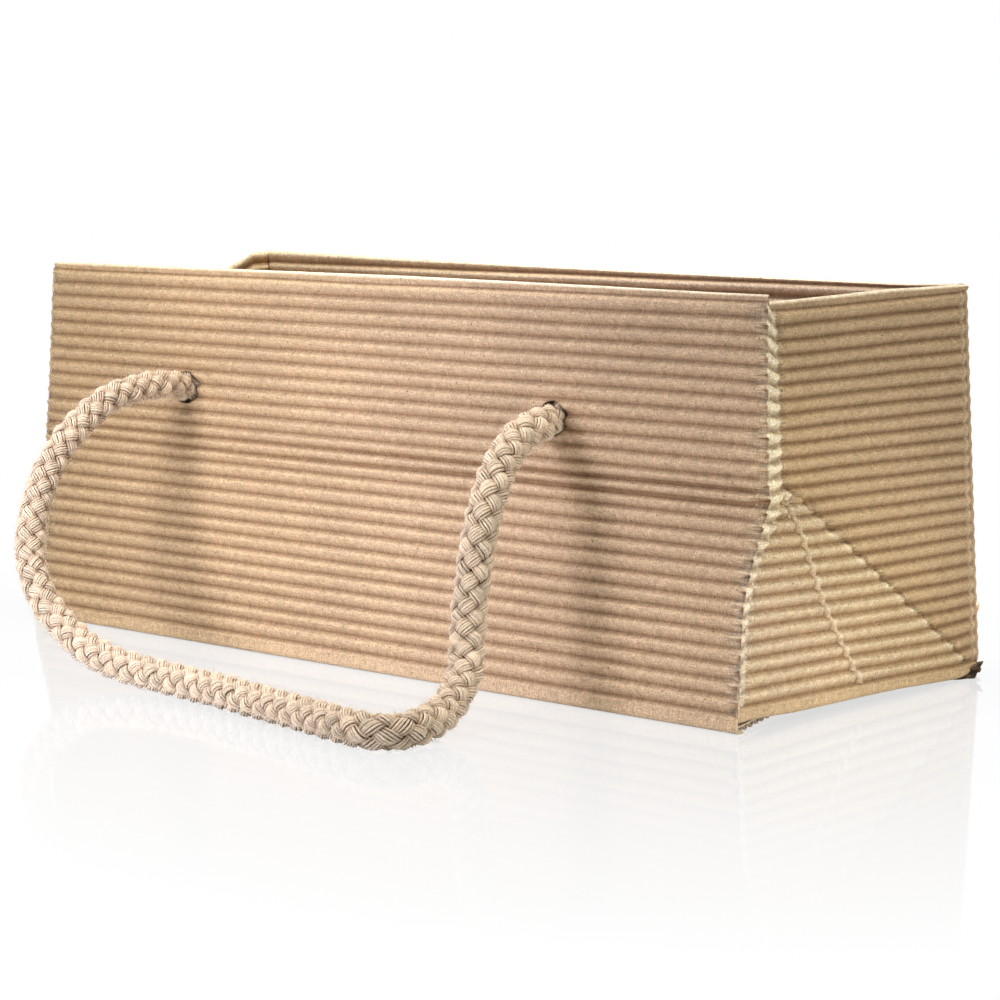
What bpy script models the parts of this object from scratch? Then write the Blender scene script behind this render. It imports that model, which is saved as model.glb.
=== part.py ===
"""Jar gift bag: a low open carrier for a row of jars, folded from single-face corrugated kraft board.

The flutes run level round all four walls. The rim is turned in as a hem, the bottom is four flaps,
and a braided cotton cord handle is knotted behind two holes in the front and in the back wall.
Metres, +Z up. The front faces -Y, and the origin is on the floor under the middle of the bag.
"""

import math

import bmesh
import bpy
from mathutils import Matrix, Vector

# Board
BOARD = 0.0016  # over the flute crests
GROOVE_BOARD = 0.0005  # liner and fluting paper where they are glued
FLUTE_PITCH = 0.00335
GAP = 0.0003  # between layers that are glued or pressed together

# Bag
HEIGHT = 0.092  # front and back walls
SIDE_HEIGHT = 0.0908
WIDTH = 0.230  # over the side walls' flutes
DEPTH_TOP = 0.0775
DEPTH_BOTTOM = 0.0944
CREASE_HEIGHT = 0.049  # where the flat-packed bag was folded
CREASE_REACH = 0.0405  # from the middle plane to the front wall at its crease
CORNER_FIN = 0.002  # pinched front corner beyond the side wall
CORNER_CRUSH = 0.005  # length of a flute's pressed end
HEM_BELOW_HOLES = 0.0115  # from the holes' middle to the turned-in rim's lower edge
FOLD_ROOM = 0.0015  # above the bottom fold, up to the first groove
CREASE_WIDTH = 0.0024
GLUE_FLAP = 0.014

# Bottom flaps
FRONT_FLAP_INSET = 0.0008
BACK_FLAP_EAR = 0.003  # pinched tip beyond the side wall
FLAP_TAPER = math.radians(16)
SIDE_FLAP_TAPER = math.radians(8)

# Handles
CORD = 0.008
HOLE_CLEARANCE = 0.0004
HOLE_SPACING = 0.120
HOLE_SHIFT = -0.0023
HOLE_HEIGHT = 0.064
KNOT_WIDTH = 0.019
KNOT_THICKNESS = 0.013
SWIVEL_GAP = 0.0007  # between the rounded ends of the loop and of the cord that is fixed in the wall
RING_STEP = 0.0065

# Loop of the front handle from the right swivel to the left one, as it lies on the floor
LOOP_ROUTE = (
    (0.0586, -0.0505, 0.0608),
    (0.0598, -0.0570, 0.0566),
    (0.0610, -0.0615, 0.0534),
    (0.0623, -0.0652, 0.0498),
    (0.0634, -0.0692, 0.0438),
    (0.0640, -0.0720, 0.0368),
    (0.0644, -0.0742, 0.0288),
    (0.0650, -0.0758, 0.0226),
    (0.0662, -0.0776, 0.0170),
    (0.0679, -0.0800, 0.0126),
    (0.0693, -0.0839, 0.0088),
    (0.0709, -0.0896, 0.0060),
    (0.0726, -0.0964, 0.0047),
    (0.0730, -0.1028, 0.0042),
    (0.0708, -0.1072, 0.0041),
    (0.0664, -0.1089, 0.0041),
    (0.0604, -0.1083, 0.0041),
    (0.0536, -0.1069, 0.0041),
    (0.0413, -0.1046, 0.0041),
    (0.0291, -0.1024, 0.0041),
    (0.0109, -0.0993, 0.0041),
    (-0.0066, -0.0978, 0.0043),
    (-0.0186, -0.0980, 0.0050),
    (-0.0276, -0.0982, 0.0064),
    (-0.0344, -0.0979, 0.0082),
    (-0.0406, -0.0975, 0.0112),
    (-0.0468, -0.0974, 0.0152),
    (-0.0519, -0.0969, 0.0203),
    (-0.0560, -0.0954, 0.0269),
    (-0.0586, -0.0924, 0.0346),
    (-0.0601, -0.0879, 0.0429),
    (-0.0610, -0.0820, 0.0502),
    (-0.0615, -0.0763, 0.0550),
    (-0.0615, -0.0700, 0.0591),
    (-0.0614, -0.0644, 0.0618),
    (-0.0614, -0.0584, 0.0639),
    (-0.0614, -0.0508, 0.0653),
)

FLUTE_RISE = BOARD - GROOVE_BOARD
ROLL = BOARD + GAP / 2  # outer radius of the turned rim
INNER_LAYER = BOARD + GAP  # height of the side flaps above the floor
FLUTE_SHAPE = ((-0.41, 0.0), (-0.25, 0.55), (-0.09, 1.0), (0.09, 1.0), (0.25, 0.55), (0.41, 0.0))
CELL_SHAPE = ((-0.33, 0.82), (-0.20, 0.42), (-0.07, 0.20), (0.07, 0.20), (0.20, 0.42), (0.33, 0.82))


def new_material(name, colour, roughness):
    """A Principled material with one linear colour."""
    material = bpy.data.materials.new(name)
    material.use_nodes = True
    shader = material.node_tree.nodes["Principled BSDF"]
    shader.inputs["Base Color"].default_value = (*colour, 1.0)
    shader.inputs["Roughness"].default_value = roughness
    shader.inputs["Metallic"].default_value = 0.0
    return material


def front_reach(z):
    """Distance from the middle plane to the front wall's crests at height z."""
    if z > CREASE_HEIGHT:
        share = (z - CREASE_HEIGHT) / (HEIGHT - CREASE_HEIGHT)
        return CREASE_REACH + (DEPTH_TOP / 2 - CREASE_REACH) * share
    return DEPTH_BOTTOM / 2 + (CREASE_REACH - DEPTH_BOTTOM / 2) * z / CREASE_HEIGHT


def back_reach(z):
    """Distance from the middle plane to the back wall's crests at height z."""
    return DEPTH_BOTTOM / 2 + (DEPTH_TOP - DEPTH_BOTTOM) / 2 * z / HEIGHT


def side_reach(z):
    """Distance from the middle plane to a side wall's crests, the same at every height."""
    return WIDTH / 2


def to_front(run, out, up):
    return Vector((run, -out, up))


def to_back(run, out, up):
    return Vector((run, out, up))


def to_right(run, out, up):
    return Vector((out, run, up))


def to_left(run, out, up):
    return Vector((-out, run, up))


def flutes(length):
    """Distance along a board and rise above its grooves, for whole flutes over the length."""
    count = max(1, round(length / FLUTE_PITCH))
    pitch = length / count
    return [
        ((index + 0.5 + phase) * pitch, share * FLUTE_RISE)
        for index in range(count)
        for phase, share in FLUTE_SHAPE
    ]


def top_groove(top):
    """Height of the groove below a rolled rim."""
    return top - ROLL - GAP


def hem_edge():
    """Height of the turned-in rim's lower edge, the same on all four walls."""
    return HOLE_HEIGHT - HEM_BELOW_HOLES


def bottom_groove(base):
    """Height of the groove above a bottom fold whose layer starts at the base."""
    return base + BOARD + FOLD_ROOM


def wall_outline(reach, top, bottom, kinks=()):
    """Outline of an upright board as (out, up, rise), from the top down its flutes and up its liner."""
    outline = [(reach(top) - FLUTE_RISE, top, 0.0)]
    for along, rise in flutes(top - bottom):
        up = top - along
        outline.append((reach(up) - FLUTE_RISE + rise, up, rise))
    outline.append((reach(bottom) - FLUTE_RISE, bottom, 0.0))
    outline += [(reach(up) - BOARD, up, 0.0) for up in (bottom, *kinks, top)]
    return outline


def hem_outline(reach, top):
    """Outline of the rim rolled inwards and down: over the roll, down the inner flutes, up the liner."""
    centre = top - ROLL
    middle = reach(centre) - ROLL
    outline = []
    for degrees in range(0, 181, 30):
        radius = ROLL - (FLUTE_RISE / 2 if degrees in (0, 180) else 0.0)
        angle = math.radians(degrees)
        outline.append((middle + radius * math.cos(angle), centre + radius * math.sin(angle), 0.0))
    start, end = top_groove(top), hem_edge()
    for along, rise in flutes(start - end):
        up = start - along
        outline.append((reach(up) - 2 * ROLL + FLUTE_RISE - rise, up, 0.0))
    outline.append((reach(end) - 2 * ROLL + FLUTE_RISE, end, 0.0))
    outline.append((reach(end) - ROLL - GAP / 2, end, 0.0))
    outline.append((middle - GAP / 2, centre, 0.0))
    outline.append((middle, centre + GAP / 2, 0.0))
    outline.append((middle + GAP / 2, centre, 0.0))
    return outline


def flap_outline(reach, base, inner_end):
    """Outline of a bottom flap: round its fold, in along the flutes that face down, out along the liner."""
    start = bottom_groove(base) - GAP
    corner = reach(base) - BOARD
    outline = [(reach(start) - FLUTE_RISE, start, 0.0)]
    for degrees in (0, 30, 60, 90):
        angle = math.radians(degrees)
        outline.append((corner + BOARD * math.cos(angle), base + BOARD - BOARD * math.sin(angle), 0.0))
    for along, rise in flutes(corner - inner_end):
        outline.append((corner - along, base + FLUTE_RISE - rise, 0.0))
    outline.append((inner_end, base + FLUTE_RISE, 0.0))
    outline.append((inner_end, base + BOARD, 0.0))
    outline.append((corner, base + BOARD, 0.0))
    outline.append((reach(start) - BOARD, start, 0.0))
    return outline


def finish_mesh(name, mesh_data, material):
    """Turns a bmesh into a named object with one material."""
    mesh_data.normal_update()
    bmesh.ops.recalc_face_normals(mesh_data, faces=mesh_data.faces)
    mesh = bpy.data.meshes.new(name)
    mesh_data.to_mesh(mesh)
    mesh_data.free()
    mesh.materials.append(material)
    part = bpy.data.objects.new(name, mesh)
    bpy.context.scene.collection.objects.link(part)
    return part


def extruded_board(outline, ends, place, stations):
    """Extrudes an outline along a board's run through its stations and puts it in place.

    ends gives a point's first and last run coordinate from its out and up. A station is a share of
    the run, an inset from the nearer end, and the share of the flutes' rise that is left there.
    """
    board = bmesh.new()
    rise_layer = board.verts.layers.float.new("rise")
    corners = []
    for out, up, rise in outline:
        corner = board.verts.new((0.0, out, up))
        corner[rise_layer] = rise
        corners.append(corner)
    board.faces.new(corners)
    region = [*board.verts, *board.edges, *board.faces]
    for _ in stations[1:]:
        region = bmesh.ops.extrude_face_region(board, geom=region)["geom"]
        moved = [item for item in region if isinstance(item, bmesh.types.BMVert)]
        bmesh.ops.translate(board, verts=moved, vec=(1.0, 0.0, 0.0))
    for vertex in board.verts:
        share, inset, kept = stations[round(vertex.co.x)]
        out, up = vertex.co.y, vertex.co.z
        first, last = ends(out, up)
        run = first + (last - first) * share + inset
        vertex.co = place(run, out - vertex[rise_layer] * (1.0 - kept), up)
    return board


WHOLE_RUN = ((0.0, 0.0, 1.0), (1.0, 0.0, 1.0))
PINCHED_RUN = ((0.0, 0.0, 0.3), (0.0, CORNER_CRUSH, 1.0), (1.0, -CORNER_CRUSH, 1.0), (1.0, 0.0, 0.3))


def cut(part, cutter):
    """Cuts a part with a hidden cutter."""
    boolean = part.modifiers.new("cut", "BOOLEAN")
    boolean.operation = "DIFFERENCE"
    boolean.object = cutter


def make_cutter(name, mesh_data):
    """A wire-only object that the model leaves out."""
    mesh = bpy.data.meshes.new(name)
    mesh_data.normal_update()
    bmesh.ops.recalc_face_normals(mesh_data, faces=mesh_data.faces)
    mesh_data.to_mesh(mesh)
    mesh_data.free()
    cutter = bpy.data.objects.new(name, mesh)
    bpy.context.scene.collection.objects.link(cutter)
    cutter.hide_render = True
    cutter.display_type = "WIRE"
    return cutter


def hole_places():
    """Where the two cord holes are along the wall, right and left."""
    return HOLE_SHIFT + HOLE_SPACING / 2, HOLE_SHIFT - HOLE_SPACING / 2


def make_hole_cutter():
    """Two round drills right through the front and back walls."""
    drills = bmesh.new()
    for place in hole_places():
        drill = bmesh.ops.create_cone(
            drills,
            cap_ends=True,
            segments=24,
            radius1=CORD / 2 + HOLE_CLEARANCE,
            radius2=CORD / 2 + HOLE_CLEARANCE,
            depth=2 * DEPTH_BOTTOM,
        )["verts"]
        bmesh.ops.rotate(drills, verts=drill, cent=(0, 0, 0), matrix=Matrix.Rotation(math.radians(90), 3, "X"))
        bmesh.ops.translate(drills, verts=drill, vec=(place, 0.0, HOLE_HEIGHT))
    return make_cutter("hole_cutter", drills)


def make_cell_cutter(reach, place, inner_end):
    """The open cells between flutes and liner of a bottom flap that lies on the floor."""
    corner = reach(0.0) - BOARD
    count = max(1, round((corner - inner_end) / FLUTE_PITCH))
    pitch = (corner - inner_end) / count
    cells = bmesh.new()
    for index in range(count):
        crest = corner - (index + 0.5) * pitch
        ring = [cells.verts.new(place(-WIDTH, crest + phase * pitch, share * BOARD)) for phase, share in CELL_SHAPE]
        face = cells.faces.new(ring)
        grown = bmesh.ops.extrude_face_region(cells, geom=[face])["geom"]
        moved = [item for item in grown if isinstance(item, bmesh.types.BMVert)]
        bmesh.ops.translate(cells, verts=moved, vec=(2 * WIDTH, 0.0, 0.0))
    return make_cutter("cell_cutter", cells)


def press_crease(board, start, end, groove):
    """Presses a straight crease from start to end, both (y, z), into a side wall's flutes."""
    along = Vector((0.0, end[0] - start[0], end[1] - start[1])).normalized()
    across = Vector((0.0, -along.z, along.y))
    origin = Vector((0.0, start[0], start[1]))
    for offset in (-CREASE_WIDTH / 2, 0.0, CREASE_WIDTH / 2):
        bmesh.ops.bisect_plane(
            board,
            geom=[*board.verts, *board.edges, *board.faces],
            dist=1e-6,
            plane_co=origin + across * offset,
            plane_no=across,
        )
    for vertex in board.verts:
        proud = abs(vertex.co.x) - groove
        if abs((vertex.co - origin).dot(across)) < 1e-5 and proud > 1e-5:
            vertex.co.x -= math.copysign(proud * 0.8, vertex.co.x)


def make_walls(kraft, hole_cutter):
    """The four upright panels of the blank."""
    top, side_top = top_groove(HEIGHT), top_groove(SIDE_HEIGHT)
    front = wall_outline(front_reach, top, bottom_groove(0.0), (CREASE_HEIGHT,))
    fin_end = WIDTH / 2 + CORNER_FIN
    board = extruded_board(front, lambda out, up: (-fin_end, fin_end), to_front, PINCHED_RUN)
    cut(finish_mesh("front_panel", board, kraft), hole_cutter)

    back = wall_outline(back_reach, top, bottom_groove(0.0))
    back_end = WIDTH / 2 - BOARD - GAP
    board = extruded_board(back, lambda out, up: (-back_end, back_end), to_back, PINCHED_RUN)
    cut(finish_mesh("back_panel", board, kraft), hole_cutter)

    side = wall_outline(side_reach, side_top, bottom_groove(INNER_LAYER), (CREASE_HEIGHT,))
    corner = (-CREASE_REACH, CREASE_HEIGHT)
    back_foot = (DEPTH_BOTTOM / 2, INNER_LAYER)
    middle_foot = (0.0, INNER_LAYER)
    for name, place in (("left_side_panel", to_left), ("right_side_panel", to_right)):
        board = extruded_board(side, side_ends, place, WHOLE_RUN)
        press_crease(board, corner, back_foot, WIDTH / 2 - FLUTE_RISE)
        press_crease(board, corner, middle_foot, WIDTH / 2 - FLUTE_RISE)
        finish_mesh(name, board, kraft)


def side_ends(out, up):
    """A side panel fills the space from the front panel's liner to the back panel's crests."""
    return -front_reach(up) + BOARD + GAP, back_reach(up)


def make_hems(kraft, hole_cutter):
    """The turned-in rim, mitred at the corners."""

    def front_ends(out, up):
        end = WIDTH / 2 - (front_reach(up) - out) - GAP / 2
        return -end, end

    def back_ends(out, up):
        end = WIDTH / 2 - (back_reach(up) - out) - GAP / 2
        return -end, end

    def cross_ends(out, up):
        inset = WIDTH / 2 - out + GAP / 2
        return -front_reach(up) + max(inset, BOARD + GAP), back_reach(up) - inset

    board = extruded_board(hem_outline(front_reach, HEIGHT), front_ends, to_front, WHOLE_RUN)
    cut(finish_mesh("front_hem", board, kraft), hole_cutter)
    board = extruded_board(hem_outline(back_reach, HEIGHT), back_ends, to_back, WHOLE_RUN)
    cut(finish_mesh("back_hem", board, kraft), hole_cutter)
    for name, place in (("left_hem", to_left), ("right_hem", to_right)):
        board = extruded_board(hem_outline(side_reach, SIDE_HEIGHT), cross_ends, place, WHOLE_RUN)
        finish_mesh(name, board, kraft)


def make_bottom(kraft):
    """Two side flaps that meet in the middle, and the front and back flaps under them."""
    half_gap = GAP / 2
    for name, place, reach, end in (
        ("front_bottom_flap", to_front, front_reach, WIDTH / 2 - FRONT_FLAP_INSET),
        ("back_bottom_flap", to_back, back_reach, WIDTH / 2 + BACK_FLAP_EAR),
    ):

        def long_ends(out, up, end=end):
            tapered = end - (DEPTH_BOTTOM / 2 - out) * math.tan(FLAP_TAPER)
            return -tapered, tapered

        board = extruded_board(flap_outline(reach, 0.0, half_gap), long_ends, place, WHOLE_RUN)
        cut(finish_mesh(name, board, kraft), make_cell_cutter(reach, place, half_gap))

    def short_ends(out, up):
        inset = (WIDTH / 2 - out) * math.tan(SIDE_FLAP_TAPER)
        first, last = side_ends(out, bottom_groove(INNER_LAYER))
        return first + inset, last - BOARD - GAP - inset

    for name, place in (("left_bottom_flap", to_left), ("right_bottom_flap", to_right)):
        board = extruded_board(flap_outline(side_reach, INNER_LAYER, half_gap), short_ends, place, WHOLE_RUN)
        finish_mesh(name, board, kraft)


def make_glue_flap(kraft):
    """The strip at the end of the blank that is glued inside the back wall, under the hem."""
    bottom = INNER_LAYER + BOARD + GAP
    outline = wall_outline(lambda z: back_reach(z) - BOARD - GAP, hem_edge() - GAP, bottom)
    start = -(WIDTH / 2 - BOARD - GAP)
    board = extruded_board(outline, lambda out, up: (start, start + GLUE_FLAP), to_back, WHOLE_RUN)
    finish_mesh("glue_flap", board, kraft)


def smooth_points(route, step):
    """Points a step apart on the smooth curve through a route's own points."""
    knots = [Vector(point) for point in route]
    knots = [2 * knots[0] - knots[1], *knots, 2 * knots[-1] - knots[-2]]
    fine = []
    for before, start, end, after in zip(knots, knots[1:], knots[2:], knots[3:]):
        for share in (index / 12 for index in range(12)):
            square, cube = share**2, share**3
            fine.append(
                0.5
                * (
                    2 * start
                    + (end - before) * share
                    + (2 * before - 5 * start + 4 * end - after) * square
                    + (3 * start - before - 3 * end + after) * cube
                )
            )
    fine.append(knots[-2])
    length = sum((b - a).length for a, b in zip(fine, fine[1:]))
    count = max(2, round(length / step))
    points, walked, index = [fine[0]], 0.0, 0
    for number in range(1, count):
        target = length * number / count
        while walked + (fine[index + 1] - fine[index]).length < target:
            walked += (fine[index + 1] - fine[index]).length
            index += 1
        share = (target - walked) / (fine[index + 1] - fine[index]).length
        points.append(fine[index].lerp(fine[index + 1], share))
    points.append(fine[-1])
    return points


def make_cord(name, points, radii, pivot, material):
    """A round cord along its points, with its origin at the pivot."""
    curve = bpy.data.curves.new(name, "CURVE")
    curve.dimensions = "3D"
    curve.bevel_depth = CORD / 2
    curve.bevel_resolution = 3
    curve.use_fill_caps = True
    spline = curve.splines.new("POLY")
    spline.points.add(len(points) - 1)
    for knot, point, radius in zip(spline.points, points, radii):
        knot.co = (*(point - pivot), 1.0)
        knot.radius = radius
    curve.materials.append(material)
    part = bpy.data.objects.new(name, curve)
    part.location = pivot
    bpy.context.scene.collection.objects.link(part)
    return part


def rounded_end(tip, towards):
    """Points and radii of a round nose about the tip, from its foremost point inwards."""
    back = (tip - towards).normalized() * (CORD / 2)
    angles = [math.radians(degrees) for degrees in (8, 30, 55)]
    return [tip + back * math.cos(angle) for angle in angles], [math.sin(angle) for angle in angles]


def make_loop(name, side, cotton):
    """The swinging loop of a handle. side is -1 for the front and 1 for the back."""
    points = smooth_points([(x, -side * y, z) for x, y, z in LOOP_ROUTE], RING_STEP)
    for point in points:
        point.z = max(point.z, CORD / 2)
    nose, nose_radii = rounded_end(points[0], points[1])
    tail, tail_radii = rounded_end(points[-1], points[-2])
    rings = [*nose, *points, *reversed(tail)]
    radii = [*nose_radii, *([1.0] * len(points)), *reversed(tail_radii)]
    make_cord(name, rings, radii, points[0].copy(), cotton)


def make_cord_end(name, side, hole, swivel, cotton):
    """The fixed end of a cord: from its knot straight through the wall, rounded short of the swivel."""
    reach = front_reach(HOLE_HEIGHT) if side < 0 else back_reach(HOLE_HEIGHT)
    inside = Vector((hole, side * (reach - 2 * ROLL - GAP), HOLE_HEIGHT))
    beside = math.hypot(swivel[0] - hole, swivel[2] - HOLE_HEIGHT)
    short = math.sqrt((CORD + SWIVEL_GAP) ** 2 - beside**2)
    tip = Vector((hole, side * (abs(swivel[1]) - short), HOLE_HEIGHT))
    nose, nose_radii = rounded_end(tip, inside)
    make_cord(name, [inside, tip, *reversed(nose)], [1.0, 1.0, *reversed(nose_radii)], inside, cotton)
    return inside


def make_knot(name, side, inside, cotton):
    """The stopper knot behind the wall: a squat ball with a waist, flat where it meets the hem."""
    knot = bmesh.new()
    bmesh.ops.create_uvsphere(knot, u_segments=14, v_segments=9, radius=0.5)
    bmesh.ops.scale(knot, verts=knot.verts, vec=(KNOT_WIDTH, KNOT_WIDTH, KNOT_THICKNESS))
    for vertex in knot.verts:
        level = vertex.co.z / (KNOT_THICKNESS / 2)
        if abs(level) < 0.2:
            vertex.co.xy *= 0.9
    flat = -KNOT_THICKNESS * 0.4
    bmesh.ops.bisect_plane(
        knot,
        geom=[*knot.verts, *knot.edges, *knot.faces],
        plane_co=(0, 0, flat),
        plane_no=(0, 0, 1),
        clear_inner=True,
    )
    bmesh.ops.holes_fill(knot, edges=[edge for edge in knot.edges if edge.is_boundary])
    for vertex in knot.verts:
        across, away, up = vertex.co.x, vertex.co.z - flat + GAP, vertex.co.y
        vertex.co = inside + Vector((across, -side * away, up))
    part = finish_mesh(name, knot, cotton)
    part.data.shade_smooth()
    part.data.set_sharp_from_angle(angle=math.radians(50))


def make_handles(cotton):
    """Both cord handles, each a loop and two knotted ends."""
    for wall, side in (("front", -1), ("back", 1)):
        make_loop(f"{wall}_handle_cord", side, cotton)
        for hand, hole, swivel in zip(("right", "left"), hole_places(), (LOOP_ROUTE[0], LOOP_ROUTE[-1])):
            inside = make_cord_end(f"{wall}_cord_{hand}_end", side, hole, swivel, cotton)
            make_knot(f"{wall}_cord_{hand}_knot", side, inside, cotton)


def build():
    """Clears the scene and models the bag."""
    for old in list(bpy.data.objects):
        bpy.data.objects.remove(old)
    kraft = new_material("kraft_board", (0.52, 0.36, 0.21), 0.85)
    cotton = new_material("cotton_cord", (0.80, 0.69, 0.55), 0.95)
    hole_cutter = make_hole_cutter()
    make_walls(kraft, hole_cutter)
    make_hems(kraft, hole_cutter)
    make_bottom(kraft)
    make_glue_flap(kraft)
    make_handles(cotton)


build()
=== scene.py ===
"""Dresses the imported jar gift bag: fluted kraft board, pinched corners and braided cotton handles.

Every place is in metres in the bag's own frame: +Z up, the front faces -Y, the origin is on the floor
under the middle of the bag.
"""

import logging
import math
from dataclasses import dataclass, field
from enum import Enum
from typing import Callable

import bmesh
import bpy
import numpy as np
from mathutils import Matrix, Vector
from numpy.typing import NDArray


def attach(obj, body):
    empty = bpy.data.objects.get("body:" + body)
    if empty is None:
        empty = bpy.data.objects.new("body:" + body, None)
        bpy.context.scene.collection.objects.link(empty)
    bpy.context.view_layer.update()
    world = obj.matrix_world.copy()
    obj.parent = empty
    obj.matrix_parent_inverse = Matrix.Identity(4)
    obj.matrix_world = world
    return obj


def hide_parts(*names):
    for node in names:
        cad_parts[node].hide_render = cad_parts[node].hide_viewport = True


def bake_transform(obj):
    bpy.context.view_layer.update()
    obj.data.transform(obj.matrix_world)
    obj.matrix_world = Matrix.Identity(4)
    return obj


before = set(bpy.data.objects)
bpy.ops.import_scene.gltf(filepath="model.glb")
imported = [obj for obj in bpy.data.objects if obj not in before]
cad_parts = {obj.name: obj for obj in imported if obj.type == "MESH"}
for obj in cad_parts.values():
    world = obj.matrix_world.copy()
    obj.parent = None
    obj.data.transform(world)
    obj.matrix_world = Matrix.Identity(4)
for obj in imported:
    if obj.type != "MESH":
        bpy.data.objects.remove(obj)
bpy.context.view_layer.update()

log = logging.getLogger("jar_gift_bag")
MM = 0.001
Array = NDArray[np.float64]
Colour = tuple[float, float, float, float]
Point = tuple[float, float, float]
Curve = tuple[tuple[float, ...], tuple[float, ...]]
Socket = bpy.types.NodeSocket


# Small helpers.


def smooth(low: float, high: float, value: Array) -> Array:
    """Rises smoothly from 0 where the value is at low to 1 where it is at high."""
    t = np.clip((np.asarray(value, float) - low) / (high - low), 0.0, 1.0)
    return t * t * (3.0 - 2.0 * t)


def hump(value: Array, middle: float, width: float | Array) -> Array:
    """A smooth hump, 1 where the value is at its middle and 0 well away from it."""
    return np.exp(-(((value - middle) / width) ** 2))


def along_line(value: Array, line: Curve) -> Array:
    """Looks up a curve of places and heights that are both written in millimetres."""
    return np.interp(value, np.array(line[0]) * MM, np.array(line[1]) * MM)


def soft_noise(seed: int, count: int, spacing: float) -> Array:
    """A repeatable smooth wander about zero, count samples long, with one control value per spacing samples.

    Args:
        seed: Picks the wander.
        count: How many samples.
        spacing: Samples between control values.

    Returns:
        Samples between about -1 and 1.
    """
    rng = np.random.default_rng(seed)
    knots = rng.uniform(-1.0, 1.0, int(count / spacing) + 4)
    place = np.arange(count) / spacing
    index = place.astype(int)
    share = place - index
    share = share * share * (3.0 - 2.0 * share)
    return knots[index] * (1.0 - share) + knots[index + 1] * share


def flute_noise(seed: int, last: int, count: int, spacing: float) -> Array:
    """A wander of its own for each flute down to the last, one row per flute."""
    return np.stack([soft_noise(seed + flute, count, spacing) for flute in range(last + 1)])


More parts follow.
